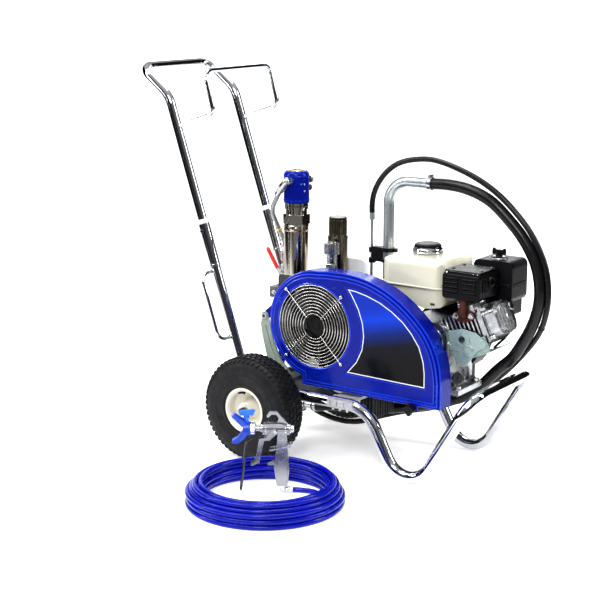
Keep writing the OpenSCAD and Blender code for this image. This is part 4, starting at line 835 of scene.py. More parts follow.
# rim's skin on the right, down to the corner
m_ = Mesh()
m_.mat("blue_paint")
rim_ = sorted([q for q in outline(0.3) if q[0] > 450 and 318 <= q[1] <= 378], key=lambda q: q[1])
vs = [(x, y, z) for x, z in rim_ for y in (-141.5, -98.0)]
m_.add(vs, [[2 * i, 2 * i + 1, 2 * i + 3, 2 * i + 2] for i in range(len(rim_) - 1)])
piece(m_, "guard_rim_skin", "guard", "blue_paint", bevel=0, solid=1.2)

# dark plate beside the cooler, behind the air opening: painted shade, a black sheet standing in for the dark seen
# through the opening
m_ = Mesh().mat("black_paint")
m_.prism(rrect(-13, 360, 54, 230, 10), -88, -86.5)
piece(m_, "cooler_side_shade_plate", "cart", "black_paint", bevel=0.4)

# fan hub: black moulded boss with rings and screws, blades' tip band
m_ = Mesh().mat("black_gloss")
m_.lathe([(30.6, 0), (30.6, -1.2), (29.6, -1.9), (25.4, -1.9), (24.4, -1.4), (24.2, -2.0), (22.6, -2.5), (13, -2.5), (11.2, -2.2), (11.2, 0)], (118, -136.1, 364), (0, 1, 0), 64)
piece(m_, "fan_boss", "fan", "black_casting", bevel=0.1)
m_ = Mesh().mat("dark_steel")
m_.lathe([(9.9, 0), (9.9, -2.0), (8.6, -2.8), (3, -2.8), (2.4, -1.4), (0.01, -1.4)], (118, -135.7, 364), (0, 1, 0), 32)
piece(m_, "fan_hub_screws", "fan", "dark_steel", bevel=0)
m_ = Mesh().mat("wire")
m_.lathe([(99.5, -0.8), (100.6, 0), (99.5, 0.8), (98.6, 0)], (118, -119.2, 364), (0, 1, 0), 96, closed=True)
m_.lathe([(60.2, -0.6), (60.9, 0), (60.2, 0.6), (59.5, 0)], (118, -119.4, 364), (0, 1, 0), 96, closed=True)
piece(m_, "fan_tip_band", "fan", "dark_steel", bevel=0)

# clamp knob: four lobes with a soft top and a centre plug
m_ = Mesh().mat("black_plastic")
prof = []
rings = []
for (sc, y) in ((0.90, -154.4), (1.0, -155.6), (1.0, -165.5), (0.93, -168.0), (0.74, -169.2), (0.4, -168.6), (0.02, -168.4)):
    rings.append([(417 + sc * (13.6 + 2.9 * math.cos(4 * t)) * math.cos(t), y, 193 + sc * (13.6 + 2.9 * math.cos(4 * t)) * math.sin(t)) for t in [2 * math.pi * k / 64 for k in range(64)]])
m_.ringed(rings)
m_.lathe([(9, -145.5), (9, -155)], (417, 0, 193), (0, 1, 0), 40)
m_.lathe([(4, -155), (4, -138)], (417, 0, 193), (0, 1, 0), 24)
piece(m_, "knob_four_lobe", "guard_knob", "black_plastic", replaces=("guard_knob",), bevel=0.3)

# hinge bracket: pivot pin head, pressed rib and its two screws
m_ = Mesh().mat("dark_steel")
m_.lathe([(7.2, 0), (7.2, -1.4), (6.4, -3.2), (4, -4), (0.01, -4)], (-80, -97.2, 355), (0, 1, 0), 32)
piece(m_, "hinge_pin_head", "cart", "dark_steel", bevel=0)
m_ = Mesh().mat("zinc")
bolt(m_, (-8, -97.1, 214), (0, -1, 0), 9, 4)
bolt(m_, (-36, -97.1, 190), (0, -1, 0), 9, 4)
piece(m_, "bracket_bolts", "cart", "zinc", bevel=0)
m_ = Mesh().mat("sage")
m_.tube(bent_path([(-78, -97.4, 330), (-58, -97.4, 270), (-34, -97.4, 215)], [40]), 1.8, 10)
piece(m_, "bracket_rib", "cart", "sage_paint", bevel=0)


# ------------------------------------------------------------------ hydraulic motor, pump and filter
MX, MY = -70.0, 40.0
m_ = Mesh().mat("brass")
m_.lathe([(20, 0), (20, 1.0), (18.4, 2.4), (12.4, 2.6), (11.6, 1.4), (0.01, 1.4)], (MX, MY, 736.8), (0, 0, 1), 48)
piece(m_, "motor_top_disc", "cart", "zinc", bevel=0)
m_ = Mesh().mat("zinc")
m_.lathe([(8.4, 0), (8.4, 3), (7.4, 4), (0.01, 4)], (MX, MY, 738.2), (0, 0, 1), 6)
for ang, z in ((-35, 704), (-18, 703), (-18, 684)):
    ar = math.radians(ang)
    u = Vector((math.cos(ar), math.sin(ar), 0))
    screw(m_, Vector((MX, MY, z)) + u * 34.6, u, 2.9, 2.0)
piece(m_, "motor_cap_screws", "cart", "zinc", bevel=0)
m_ = Mesh().mat("blue_paint")
m_.lathe([(35.4, 0), (36.4, 0.8), (36.4, 4.2), (35.4, 5)], (MX, MY, 654), (0, 0, 1), 96, closed=True)
m_.lathe([(35.4, 0), (36.1, 0.6), (36.1, 2.4), (35.4, 3)], (MX, MY, 722), (0, 0, 1), 96, closed=True)
piece(m_, "motor_cap_ribs", "cart", "blue_paint", bevel=0)
# neck groove, and turned rings on the cylinder
m_ = Mesh().mat("nickel")
m_.lathe([(34.4, 0), (35.3, 1.2), (35.3, 5), (34.4, 6.2)], (MX, MY, 583), (0, 0, 1), 96, closed=True)
m_.lathe([(34.4, 0), (35.2, 0.8), (35.2, 10.8), (34.4, 11.6)], (MX, MY, 411), (0, 0, 1), 96, closed=True)
m_.lathe([(34.2, 0), (36.3, 1), (36.6, 3), (36.3, 5), (34.2, 6)], (MX, MY, 572), (0, 0, 1), 96, closed=True)
piece(m_, "motor_cylinder_rings", "cart", "nickel", bevel=0)
m_ = Mesh().mat("dark_steel")
m_.lathe([(33.1, 0), (33.5, 0.4), (33.5, 2.4), (33.1, 2.8)], (MX, MY, 640), (0, 0, 1), 72, closed=True)
piece(m_, "motor_neck_ring", "cart", "dark_steel", bevel=0)


# braided hose from the cap to the ball valve
def braid_mat():
    mt, nt, bs = new_mat("galvanised_braid")
    v = coords(nt)
    w1 = nt.nodes.new("ShaderNodeTexWave"); w1.inputs["Scale"].default_value = 260; w1.inputs["Distortion"].default_value = 2.0
    w1.bands_direction = "DIAGONAL"
    nt.links.new(v, w1.inputs["Vector"])
    n1 = tex_noise(nt, v, 300, 4)
    col = mix_col(nt, maprange(nt, w1.outputs["Fac"], 0, 1), (0.16, 0.17, 0.17), (0.50, 0.52, 0.52))
    nt.links.new(col, bs.inputs["Base Color"])
    bs.inputs["Metallic"].default_value = 0.9
    nt.links.new(maprange(nt, n1, 0.34, 0.50), bs.inputs["Roughness"])
    bumped(nt, bs, w1.outputs["Fac"], 0.5, 0.0005)
    return mt


M["braid"] = braid_mat()
LINE = catmull([(-93, -9, 683), (-105, -7, 661), (-118, -3, 639), (-124, 4, 618), (-122, 14, 596), (-120, 25, 575), (-121, 38, 555), (-123, 49, 541)], 6)
m_ = Mesh().mat("braid")
m_.tube(LINE, 6.4, 24)
piece(m_, "return_hose_braid", "cart", "zinc", bevel=0)
m_ = Mesh().mat("zinc")
a0, a1 = Vector((-82, -11, 696)), Vector((-93, -9, 683))
m_.lathe([(8.3, 0), (12.4, 0), (12.4, 7), (11.4, 8), (8.3, 8)], a0, a1 - a0, 6)
m_.lathe([(8.3, 10), (10.6, 10), (10.6, 15), (9.6, 16), (8.2, 16)], a0, a1 - a0, 6)
m_.lathe([(7.0, 16), (8.4, 17), (8.4, 29), (7.2, 31)], a0, a1 - a0, 28)
b0, b1 = Vector((-122.8, 48.4, 541.8)), Vector((-123, 58, 520))
m_.lathe([(7.0, -13), (8.6, -12), (8.6, -2), (9.4, -1)], b0, b1 - b0, 28)
m_.lathe([(9.1, 2), (12.2, 2), (12.2, 9), (11.2, 10), (9.1, 10)], b0, b1 - b0, 6)
m_.lathe([(11.2, 0), (13.2, 1), (13.6, 4), (13.2, 7), (11.2, 8)], (-122.2, 60, 498.5), (0, 0, 1), 6)
piece(m_, "return_hose_nuts", "cart", "zinc", bevel=0.4)
m_ = Mesh().mat("brass")
m_.lathe([(7.0, 0), (8.0, 0.6), (8.0, 6.4), (7.0, 7)], LINE[30], LINE[32] - LINE[29], 28)
piece(m_, "return_hose_band", "cart", "zinc", bevel=0)
# plugs on the far side of the cap
PX = Matrix.Translation(Vector((MX, MY, 0))) @ Matrix.Rotation(math.radians(50), 4, "Z")
m_ = Mesh().mat("dark_steel").at(PX)
m_.lathe([(7, 35.4), (10.4, 35.4), (10.4, 40), (9.4, 41), (5, 41)], (0, 0, 712), (1, 0, 0), 6)
m_.lathe([(7, 35.4), (9.2, 35.4), (9.2, 40), (8.2, 41), (4, 41)], (0, 0, 690), (1, 0, 0), 6)
piece(m_, "motor_plug_hexes", "cart", "dark_steel", bevel=0.3)

# ball valve: body ring, stem nut, name-free tab
m_ = Mesh().mat("zinc")
m_.lathe([(15, 0), (16.6, 1.2), (16.6, 4.4), (15, 5.6)], (-119, 60, 424), (0, 0, 1), 48, closed=True)
m_.lathe([(15, 0), (16.2, 1.0), (16.2, 3.4), (15, 4.4)], (-119, 60, 446), (0, 0, 1), 48, closed=True)
m_.lathe([(9, 0), (12, 0), (12, 6), (11, 7), (9, 7)], (-119, 46, 436), (0, -1, 0), 6)
m_.lathe([(0.01, 5.6), (4.4, 5.6), (5.2, 4.6), (5.2, 0)][::-1], (-119, 34.0, 436), (0, -1, 0), 6)
piece(m_, "ball_valve_rings", "cart", "nickel", bevel=0.3)
# lever: pale strap with a rounded red grip
LV = Matrix.Translation(Vector((-119, 36.5, 436))) @ Matrix.Rotation(math.radians(-122), 4, "Y")
m_ = Mesh().mat("zinc").at(LV)
m_.prism(rrect(15, 0, 44, 12, 5.8), 0.0, 3.0)
m_.mat("zinc")
piece(m_, "lever_strap", "valve_lever", "red_grip", replaces=("valve_lever",), bevel=0.5)
m_ = Mesh().mat("red_vinyl").at(LV)
pts_ = [(25.5, -0.2, 0), (27, -0.2, 0), (30, -0.2, 0), (42, -0.2, 0), (60, -0.2, 0), (78, -0.2, 0), (86, -0.2, 0), (90, -0.2, 0), (92.2, -0.2, 0)]
m_.tube(pts_, [4.6, 6.2, 6.9, 6.6, 6.9, 7.2, 6.6, 5.0, 2.0], 28, up=(0, 1, 0), squash=(0.46, 1.0))
piece(m_, "lever_grip", "valve_lever", "red_grip", replaces=("valve_lever",), bevel=0)

# filter cap: black ring on top; bowl: bands, drain screw; pressure knob: hex under it and a black base
m_ = Mesh().mat("black_plastic")
m_.lathe([(22.4, 613.2), (24.4, 613.6), (24.6, 616.0), (23.8, 617.9), (20.5, 618.6), (19.4, 617.9), (0.01, 617.6)], (53, 60, 0), (0, 0, 1), 64)
piece(m_, "filter_cap_ring", "filter_cap", "black_plastic", bevel=0)
m_ = Mesh().mat("bronze")
for k in range(48):
    a = 2 * math.pi * k / 48
    u = Vector((math.cos(a), math.sin(a), 0))
    m_.tube([Vector((53, 60, 571)) + u * 23.9, Vector((53, 60, 611)) + u * 23.9], 0.75, 6)
piece(m_, "filter_cap_knurl", "filter_cap", "bronze_casting", bevel=0)
m_ = Mesh().mat("bronze")
m_.lathe([(27.2, 0), (28.6, 0.8), (28.6, 5.2), (27.2, 6)], (53, 60, 560), (0, 0, 1), 72, closed=True)
m_.lathe([(27.2, 0), (28.2, 0.8), (28.2, 3.2), (27.2, 4)], (53, 60, 418), (0, 0, 1), 72, closed=True)
piece(m_, "filter_bowl_bands", "cart", "bronze_casting", bevel=0)
m_ = Mesh().mat("zinc")
u = Vector((-0.93, -0.37, 0))
screw(m_, Vector((53, 60, 548)) + u * 27.3, u, 3.4, 2.0)
m_.lathe([(13, 0), (17.4, 0), (17.4, 13), (15.8, 15), (13, 15)], (73, 0, 487), (0, 0, 1), 6)
m_.lathe([(13, 0), (15.2, 0.6), (15.2, 3.4), (13, 4)], (73, 0, 515), (0, 0, 1), 40)
piece(m_, "pressure_valve_hex", "cart", "zinc", bevel=0.4)
m_ = Mesh().mat("black_plastic")
m_.lathe([(13, 462.4), (16.4, 462.4), (16.4, 468), (14.6, 470), (13, 470)], (73, 0, 0), (0, 0, 1), 40)
piece(m_, "pressure_valve_base", "cart", "black_plastic", bevel=0)
m_ = Mesh().mat("zinc")
m_.lathe([(13.8, 557.0), (17.6, 558.2), (19.0, 557.6), (19.9, 556.2)], (73, 0, 0), (0, 0, 1), 48)
m_.lathe([(0.01, 548), (5, 548), (5.6, 546), (5.6, 540.2)][::-1], (73, 0, 0), (0, 0, 1), 6)
for k in range(36):
    a = 2 * math.pi * k / 36
    v_ = Vector((math.cos(a), math.sin(a), 0))
    m_.tube([Vector((73, 0, 530)) + v_ * 19.9, Vector((73, 0, 556)) + v_ * 19.9], 0.7, 6)
piece(m_, "pressure_knob_knurl", "pressure_knob", "nickel", bevel=0)
# manifold: pads, plugs and cover bolts
m_ = Mesh().mat("grey_casting")
m_.prism(rrect(-103, 395, 60, 22, 5), 10.2, 12.4)
m_.prism(rrect(20, 395, 50, 20, 5), 10.2, 12.4)
piece(m_, "manifold_pads", "cart", "grey_casting", bevel=0.8)
m_ = Mesh().mat("zinc")
for x in (-126, -82):
    bolt(m_, (x, 10.4, 395), (0, -1, 0), 9, 5)
for x in (4, 36):
    m_.lathe([(7, 0), (7, 3), (6, 4), (3.4, 4), (3, 2), (0.01, 2)], (x, 10.4, 395), (0, -1, 0), 6)
for x, y in ((-108, 76), (-30, 76), (20, 24), (84, 76)):
    bolt(m_, (x, y, 409.8), (0, 0, 1), 8, 4)
piece(m_, "manifold_bolts", "cart", "zinc", bevel=0)
# pump: bands on the cylinder, nuts on the tie rods
m_ = Mesh().mat("nickel")
m_.lathe([(29.8, 0), (31.4, 0.9), (31.4, 6), (29.8, 7)], (MX, MY, 112), (0, 0, 1), 72, closed=True)
m_.lathe([(29.8, 0), (31.0, 0.6), (31.0, 3), (29.8, 3.6)], (MX, MY, 200), (0, 0, 1), 72, closed=True)
piece(m_, "pump_bands", "cart", "nickel", bevel=0)
m_ = Mesh().mat("zinc")
for a in (120, 210, 300):
    ar = math.radians(a)
    o_ = Vector((MX + 29.5 * math.cos(ar), MY + 29.5 * math.sin(ar), 0))
    m_.lathe([(5, 374), (8.2, 374), (8.2, 379), (7.4, 379.8), (5, 379.8)], o_, (0, 0, 1), 6)
piece(m_, "tie_rod_nuts", "cart", "zinc", bevel=0)
# suction barb rings and hose clamp at the pump
m_ = Mesh().mat("zinc")
m_.lathe([(15.3, 0), (16.1, 0), (16.1, 9), (15.3, 9)], (-8, 40.3, 80.3), (1, 0.01, 0.05), 48, closed=True)
m_.box(-8, 2, 36, 45, 95.5, 101)
m_.lathe([(3.4, 0), (3.4, 9), (2.6, 10), (0.01, 10)], (-3, 45, 98.5), (0, 1, 0), 6)
piece(m_, "suction_clamp", "cart", "zinc", bevel=0.2)
# reservoir: knurled screw cap
# the cap is in the same plastic, with its painted glow
m_ = Mesh().mat("milky_with_painted_glow")
m_.lathe([(16.4, 490.5), (19.5, 490.5), (19.5, 504), (18.2, 506), (0.01, 506.4)], (85, 122, 0), (0, 0, 1), 48)
for k in range(24):
    a = 2 * math.pi * k / 24
    v_ = Vector((math.cos(a), math.sin(a), 0))
    m_.tube([Vector((85, 122, 492)) + v_ * 19.4, Vector((85, 122, 503)) + v_ * 19.4], 0.8, 6)
piece(m_, "reservoir_cap", "cart", "clear_tank_plastic", bevel=0)


# ------------------------------------------------------------------ engine
CY = Matrix.Translation(Vector((400, 0, 334))) @ Matrix.Rotation(math.radians(-25), 4, "Y")
# muffler: pressed heat guard on the top edge, louvres, outlet, screws
m_ = Mesh().mat("black_gloss")
m_.prism([(-76.8, 524), (-76.8, 532.5), (-67, 543.4), (22, 543.4), (22, 541.9), (-66.4, 541.9), (-75.2, 532.0), (-75.2, 524)], 460, 557, "yz")
for j in (0, 1):
    for i in range(4):
        x0, z0 = 462 + j * 50, 485 + i * 11
        rows_ = []
        for t in range(7):
            a = math.pi * t / 6
            rows_.append((-75.0 - 3.4 * math.sin(a) * (1 if t < 4 else 0.9), z0 + 5.2 - 3.6 * math.cos(a)))
        m_.prism(rows_ + [(-74.6, z0 + 8.4), (-74.6, z0 + 1.8)], x0, x0 + 37, "yz")
for i in range(5):
    m_.box(562.0, 564.0, -62 + i * 7, -58.5 + i * 7, 494, 524)
m_.box(454.6, 563.4, -76.2, 31.0, 500.6, 502.4)
piece(m_, "muffler_guard", "cart", "black_gloss", bevel=0.5)
# painted shade: near-black slots behind the louvres, for the dark inside the openings
m_ = Mesh().mat("painted_shade_black")
for j in (0, 1):
    for i in range(4):
        m_.box(463.5 + j * 50, 497.5 + j * 50, -75.6, -75.0, 484.6 + i * 11, 486.0 + i * 11)
piece(m_, "muffler_louvre_slot_shade", "cart", "black_gloss", bevel=0)
m_ = Mesh().mat("zinc")
nrm = Vector((0, -0.745, 0.667))
for i in range(9):
    o_ = Vector((466 + 10.6 * i, -72.0, 538.0))
    m_.lathe([(2.3, -0.4), (2.3, 0.7), (1.4, 0.9), (1.2, -0.1), (0.01, -0.1)], o_, nrm, 16)
m_.mat("dark_steel")
for x, y in ((470, -44), (548, -44), (470, 10), (548, 10)):
    screw(m_, (x, y, 543.3), (0, 0, 1), 4.4, 2.6)
piece(m_, "muffler_screws", "cart", "zinc", bevel=0)
m_ = Mesh().mat("black_gloss")
m_.lathe([(9.0, -3), (9.0, 5.2), (10.4, 6.2), (12.6, 5.6), (13.4, 3), (13.6, 0), (15.6, -0.2)], (562, -20, 515), (1, 0, 0), 48)
piece(m_, "muffler_outlet", "cart", "black_gloss", bevel=0)
# exhaust port on the front of the cylinder: oval flange, two nuts, pipe up to the muffler
m_ = Mesh().mat("heated")
ov = []
for k in range(40):
    a = 2 * math.pi * k / 40
    ex, ez = 32 * abs(math.cos(a)) ** 1.25 * (1 if math.cos(a) > 0 else -1), 16.5 * math.sin(a)
    ov.append((512 + ex * math.cos(0.12) - ez * math.sin(0.12), 428.5 + ex * math.sin(0.12) + ez * math.cos(0.12)))
m_.prism(ov, -64.5, -57.0)
m_.tube(bent_path([(512, -58, 430), (512, -72, 432), (511, -58, 478)], [10], 8), 9.8, 28)
piece(m_, "exhaust_port", "cart", "black_gloss", bevel=0.8)
m_ = Mesh().mat("zinc")
for x, z in ((490.5, 426.6), (533.5, 431.4)):
    m_.hexhead((x, -64.5, z), (0, -1, 0), 10, 6)
    m_.lathe([(2.8, 0), (2.8, 11), (2.2, 12)], (x, -64.5, z), (0, -1, 0), 16)
piece(m_, "exhaust_port_nuts", "cart", "zinc", bevel=0)
# pressed shroud skin under the cylinder, with its star bolt
m_ = Mesh().mat("teal")
m_.prism([(470, 385.5), (510, 396.5), (549, 391.5), (577, 373), (580.5, 361), (556, 344.5), (524, 303.5), (512, 301.5), (500, 336), (477, 337.5), (468, 362)], -66.6, -64.8)
m_.prism([(486, 379), (512, 386), (530, 382), (534, 362), (520, 350), (494, 352), (485, 362)], -67.8, -66.4)
piece(m_, "shroud_skin", "cart", "teal_paint", bevel=0.7)
m_ = Mesh().mat("dark_steel")
m_.lathe([(8.6, 0), (8.6, -1.2), (6.4, -2.0), (6.4, -4.6), (5.2, -5.4), (0.01, -5.4)], (511, -67.6, 369), (0, 1, 0), 24)
piece(m_, "shroud_star_bolt", "cart", "dark_steel", bevel=0)
# exhaust flange and stub on top
m_ = Mesh().mat("black_casting").at(CY)
m_.prism(rrect(157, -42, 66, 38, 17), 57.6, 62.6, "xy")
m_.prism(rrect(157, -40, 31.6, 38, 7), 62.6, 86, "xy")
m_.prism(rrect(157, -40, 37, 43, 9), 62.6, 66.2, "xy")
piece(m_, "exhaust_flange", "cart", "cast_aluminium", bevel=1.0)
m_ = Mesh().mat("zinc").at(CY)
for x in (131, 183):
    m_.hexhead((x, -46, 62.6), (0, 0, 1), 10, 7)
    m_.lathe([(2.8, 0), (2.8, 14), (2.2, 15)], (x, -46, 62.6), (0, 0, 1), 16)
piece(m_, "exhaust_nuts", "cart", "zinc", bevel=0)
# thin near-black fins between the cast ones, painted shade in the gaps between fins, and lugs on the head
m_ = Mesh().mat("dark_alu_and_fin_shade").at(CY)
for i in range(8):
    x = 72 + i * 11.5 + 7.0
    m_.box(x, x + 1.5, -57, 50, -46, 46)
for y in (-52, 46):
    for z in (-40, 40):
        m_.lathe([(7.5, 160), (7.5, 179.8), (6.5, 180)], (0, y, z), (1, 0, 0), 24)
piece(m_, "cylinder_fins", "cart", "cast_aluminium", bevel=0.2, seg=1)
# valve cover: ribs, breather boss, bolts
m_ = Mesh().mat("cast_alu").at(CY)
for y in (-36, -20, -4, 12):
    m_.prism([(217, -30), (226.6, -26), (226.6, 30), (217, 34)], y - 1.8, y + 1.8, "xz")
m_.prism(rrect(-5, 2, 96, 82, 22), 186, 190.5, "yz")
m_.prism(rrect(-5, 2, 54, 68, 14), 224, 226.0, "yz")
m_.lathe([(9, 214), (11, 216), (11, 226), (9.4, 228), (0.01, 228.4)], (0, 30, 22), (1, 0, 0), 32)
piece(m_, "valve_cover_ribs", "cart", "cast_aluminium", bevel=1.0)
m_ = Mesh().mat("zinc").at(CY)
for y in (-50, 40):
    for z in (-36, 40):
        m_.hexhead((194, y, z), (1, 0, 0), 9, 5)
m_.hexhead((222, -5, 2), (1, 0, 0), 10, 6)
piece(m_, "valve_cover_bolts", "cart", "zinc", bevel=0)
m_ = Mesh().mat("black_plastic").at(CY)
m_.lathe([(5, 0), (7.6, 1), (7.6, 14), (9, 16), (9, 30), (7.4, 33), (0.01, 33.5)], (176, 48, -20), (0.5, 1, 0), 28)
piece(m_, "spark_plug_cap", "cart", "black_plastic", bevel=0.3)
m_ = Mesh().mat("rubber").at(CY)
m_.tube(bent_path([(176, 48, -20), (186, 68, -20), (178, 82, -34), (150, 74, -52), (120, 56, -66)], [8, 12, 20]), 3.2, 16)
piece(m_, "ignition_lead", "cart", "black_plastic", bevel=0)
# lower shroud: arched boss, folded edge
m_ = Mesh().mat("teal").at(CY)
m_.lathe([(17, 0), (17, 2.2), (15, 4), (11, 5), (9, 5.8)], (120, -64, -48), (0, -1, 0), 48)
m_.tube([(74, -64.6, -27), (177, -64.6, -27)], 1.6, 12)
m_.tube([(75, -64.6, -66), (177, -64.6, -66)], 1.8, 12)
m_.tube([(177, -64.6, -66), (177, -64.6, -27)], 1.6, 12)
piece(m_, "shroud_edges", "cart", "teal_paint", bevel=0)
# crankcase: cover bolts, drain plug, dipstick cap, ribs
m_ = Mesh().mat("zinc")
for y, z in ((-62, 300), (-10, 300), (42, 300), (-62, 352), (42, 352), (-62, 262)):
    bolt(m_, (474.8, y, z), (1, 0, 0), 9, 4)
m_.hexhead((475, -28, 250), (1, 0, 0), 14, 8)
piece(m_, "crankcase_bolts", "cart", "zinc", bevel=0)
m_ = Mesh().mat("cast_alu")
for y in (-50, -24, 2, 28):
    m_.prism([(474, 240), (486, 242), (482, 268), (475, 280)], y - 2, y + 2, "xz")
m_.prism(rrect(-10, 322, 130, 96, 26), 474.6, 477.4, "yz")
for y in (-79.8,):
    m_.prism(rrect(400, 322, 128, 140, 34), y - 2.6, y + 0.2)
piece(m_, "crankcase_ribs", "cart", "cast_aluminium", bevel=1.0)
m_ = Mesh().mat("dark_alu_and_fin_shade")
d_ = Vector((17, -6, 4)).normalized()
for o_, dd in ((Vector((497, -66, 266)), d_), (Vector((310, -66, 266)), Vector((-10, -6, 4)).normalized())):
    m_.lathe([(12, -0.4), (15, 0), (15, 7), (13, 9), (6, 9.6), (5, 15), (0.01, 16)], o_, dd, 32)
piece(m_, "oil_filler_caps", "cart", "cast_aluminium", bevel=0.4)

# fuel tank: rolled seam, filler ring, mounting straps; cap: black knurled top, chrome skirt lines
m_ = Mesh().mat("cream")
sm = rrect(358, 24, 193.4, 177.4, 34.5, 10)
m_.tube([(x, y, 487.5) for x, y in sm + sm[:2]], 2.4, 12, up=(0, 0, 1))
m_.tube([(x, y, 549) for x, y in rrect(358, 24, 128, 112, 30, 10) + rrect(358, 24, 128, 112, 30, 10)[:2]], 1.0, 8, up=(0, 0, 1))
piece(m_, "tank_seam", "cart", "cream_tank", bevel=0)
m_ = Mesh().mat("black_plastic")
m_.lathe([(0.01, 577), (0.01, 584.4), (20, 584.4), (25, 583.6), (31, 582.2), (33.4, 580.2), (33.8, 576.5), (30, 575.5)], (352, 30, 0), (0, 0, 1), 72)
for k in range(40):
    a = 2 * math.pi * k / 40
    v_ = Vector((math.cos(a), math.sin(a), 0))
    m_.tube([Vector((352, 30, 576.2)) + v_ * 33.6, Vector((352, 30, 580.0)) + v_ * 33.2], 1.1, 6)
piece(m_, "fuel_cap_top", "fuel_cap", "black_plastic", bevel=0)
m_ = Mesh().mat("chrome")
m_.lathe([(38.6, 559.6), (40.0, 560.6), (40.2, 562.4), (39.4, 563.6), (38.4, 563.8)], (352, 30, 0), (0, 0, 1), 96, closed=True)
m_.lathe([(38.6, 568.4), (39.4, 569.4), (38.8, 571.4), (37.0, 573), (36.5, 570)], (352, 30, 0), (0, 0, 1), 96, closed=True)
piece(m_, "fuel_cap_beads", "fuel_cap", "chrome_cap", bevel=0)
m_ = Mesh().mat("black_paint")
m_.box(300, 312, -62, 108, 458, 463)
m_.box(414, 426, -62, 108, 444, 449)
piece(m_, "tank_straps", "cart", "black_paint", bevel=0.8)

# air cleaner: parting line, latch ribs, dome under the knob
m_ = Mesh().mat("black_plastic")
pl = rrect(536, 82, 110.8, 84.8, 15.5, 8)
m_.tube([(x, y, 497) for x, y in pl + pl[:2]], 2.2, 12, up=(0, 0, 1))
m_.tube([(x, y, 492) for x, y in pl + pl[:2]], 1.2, 10, up=(0, 0, 1))
piece(m_, "air_cleaner_ribs", "cart", "black_plastic", bevel=0.4)
m_ = Mesh().mat("cast_alu")
m_.lathe([(24, 555.4), (23.6, 557), (21, 559), (15, 560.2), (9.6, 560.3), (9.6, 556)], (531, 82, 0), (0, 0, 1), 56)
piece(m_, "air_cleaner_dome", "cart", "cast_aluminium", bevel=0)
m_ = Mesh().mat("black_plastic")
for s in (-1, 1):
    m_.prism([(531 + s * 6, 564), (531 + s * 17, 566), (531 + s * 19.5, 574), (531 + s * 18, 580.5), (531 + s * 13, 581.5), (531 + s * 8, 576), (531 + s * 6, 572)][:: s], 79.4, 84.6)
piece(m_, "wing_knob_tabs", "air_knob", "black_plastic", bevel=1.2)
# carburettor: bowl nut, flange, screws, linkage
m_ = Mesh().mat("brass")
m_.lathe([(6.4, 0), (6.4, -5), (5, -6), (0.01, -6)], (518, 72, 366), (0, 0, 1), 6)
piece(m_, "carburettor_nut", "cart", "zinc", bevel=0)
m_ = Mesh().mat("zinc")
m_.lathe([(14, 0), (15.4, 0.8), (15.4, 3.4), (14, 4.2)], (518, 72, 380), (0, 0, 1), 40, closed=True)
for x, z in ((505, 389), (531, 389), (505, 415), (531, 415)):
    screw(m_, (x, 88, z), (0, 1, 0), 3.2, 2)
m_.tube(bent_path([(500, 95.5, 430), (470, 97, 424), (440, 98, 404), (430, 92, 380)], [12, 12]), 1.5, 12)
piece(m_, "carburettor_screws", "cart", "zinc", bevel=0)
# recoil side: badge-free centre disc, cover screws, vent ring
m_ = Mesh().mat("black_plastic")
m_.lathe([(19, 0), (19, 2.2), (17, 3.4), (0.01, 3.6)], (400, 165.8, 334), (0, 1, 0), 48)
m_.lathe([(62, 0), (64.5, 0.8), (64.5, 3), (62, 3.6)], (400, 152, 334), (0, 1, 0), 96, closed=True)
piece(m_, "recoil_rings", "cart", "black_plastic", bevel=0)
m_ = Mesh().mat("zinc")
for k in range(6):
    ar = math.radians(15 + 60 * k)
    bolt(m_, (400 + 90.5 * math.cos(ar), 127.8, 334 + 90.5 * math.sin(ar)), (0, 1, 0), 8, 4)
piece(m_, "recoil_bolts", "cart", "zinc", bevel=0)
m_ = Mesh().mat("black_plastic")
for k in range(12):
    ar = math.radians(15 + 30 * k)
    u = Vector((math.cos(ar), 0, math.sin(ar)))
    m_.tube([Vector((400, 152.2, 334)) + u * 24, Vector((400, 160.2, 334)) + u * 30, Vector((400, 160.4, 334)) + u * 56, Vector((400, 153, 334)) + u * 62], 2.2, 10)
piece(m_, "recoil_ribs", "cart", "black_plastic", bevel=0)

# deck: bolts
m_ = Mesh().mat("zinc")
for x, y in ((40, -74), (120, -74), (200, -74), (300, -74), (400, -74), (40, 134), (200, 134), (400, 134)):
    bolt(m_, (x, y, 219.9), (0, 0, 1), 10, 4)
piece(m_, "deck_bolts", "cart", "zinc", bevel=0)
# worm clamp on the suction tube
m_ = Mesh().mat("wire")
for k in range(24):
    a = 2 * math.pi * k / 24
    v_ = Vector((0, math.cos(a), math.sin(a)))
    m_.tube([Vector((337, 60, 733.3)) + v_ * 16.0, Vector((347, 60, 733.3)) + v_ * 16.0], 0.5, 6)
piece(m_, "worm_clamp_slots", "cart", "zinc", bevel=0)
# bands round the drain hose
m_ = Mesh().mat("black_plastic")
piece_pts = [(q.x, q.y, q.z) for q in catmull(DRAIN, 4)]
for t in (60, 150):
    P_c = [Vector(q) for q in piece_pts]
    t = min(t, len(P_c) - 2)
    m_.lathe([(7.6, -3), (8.6, -2.4), (8.6, 2.4), (7.6, 3)], P_c[t], P_c[t + 1] - P_c[t - 1], 28, closed=True)
piece(m_, "hose_bands", "cart", "black_plastic", bevel=0)


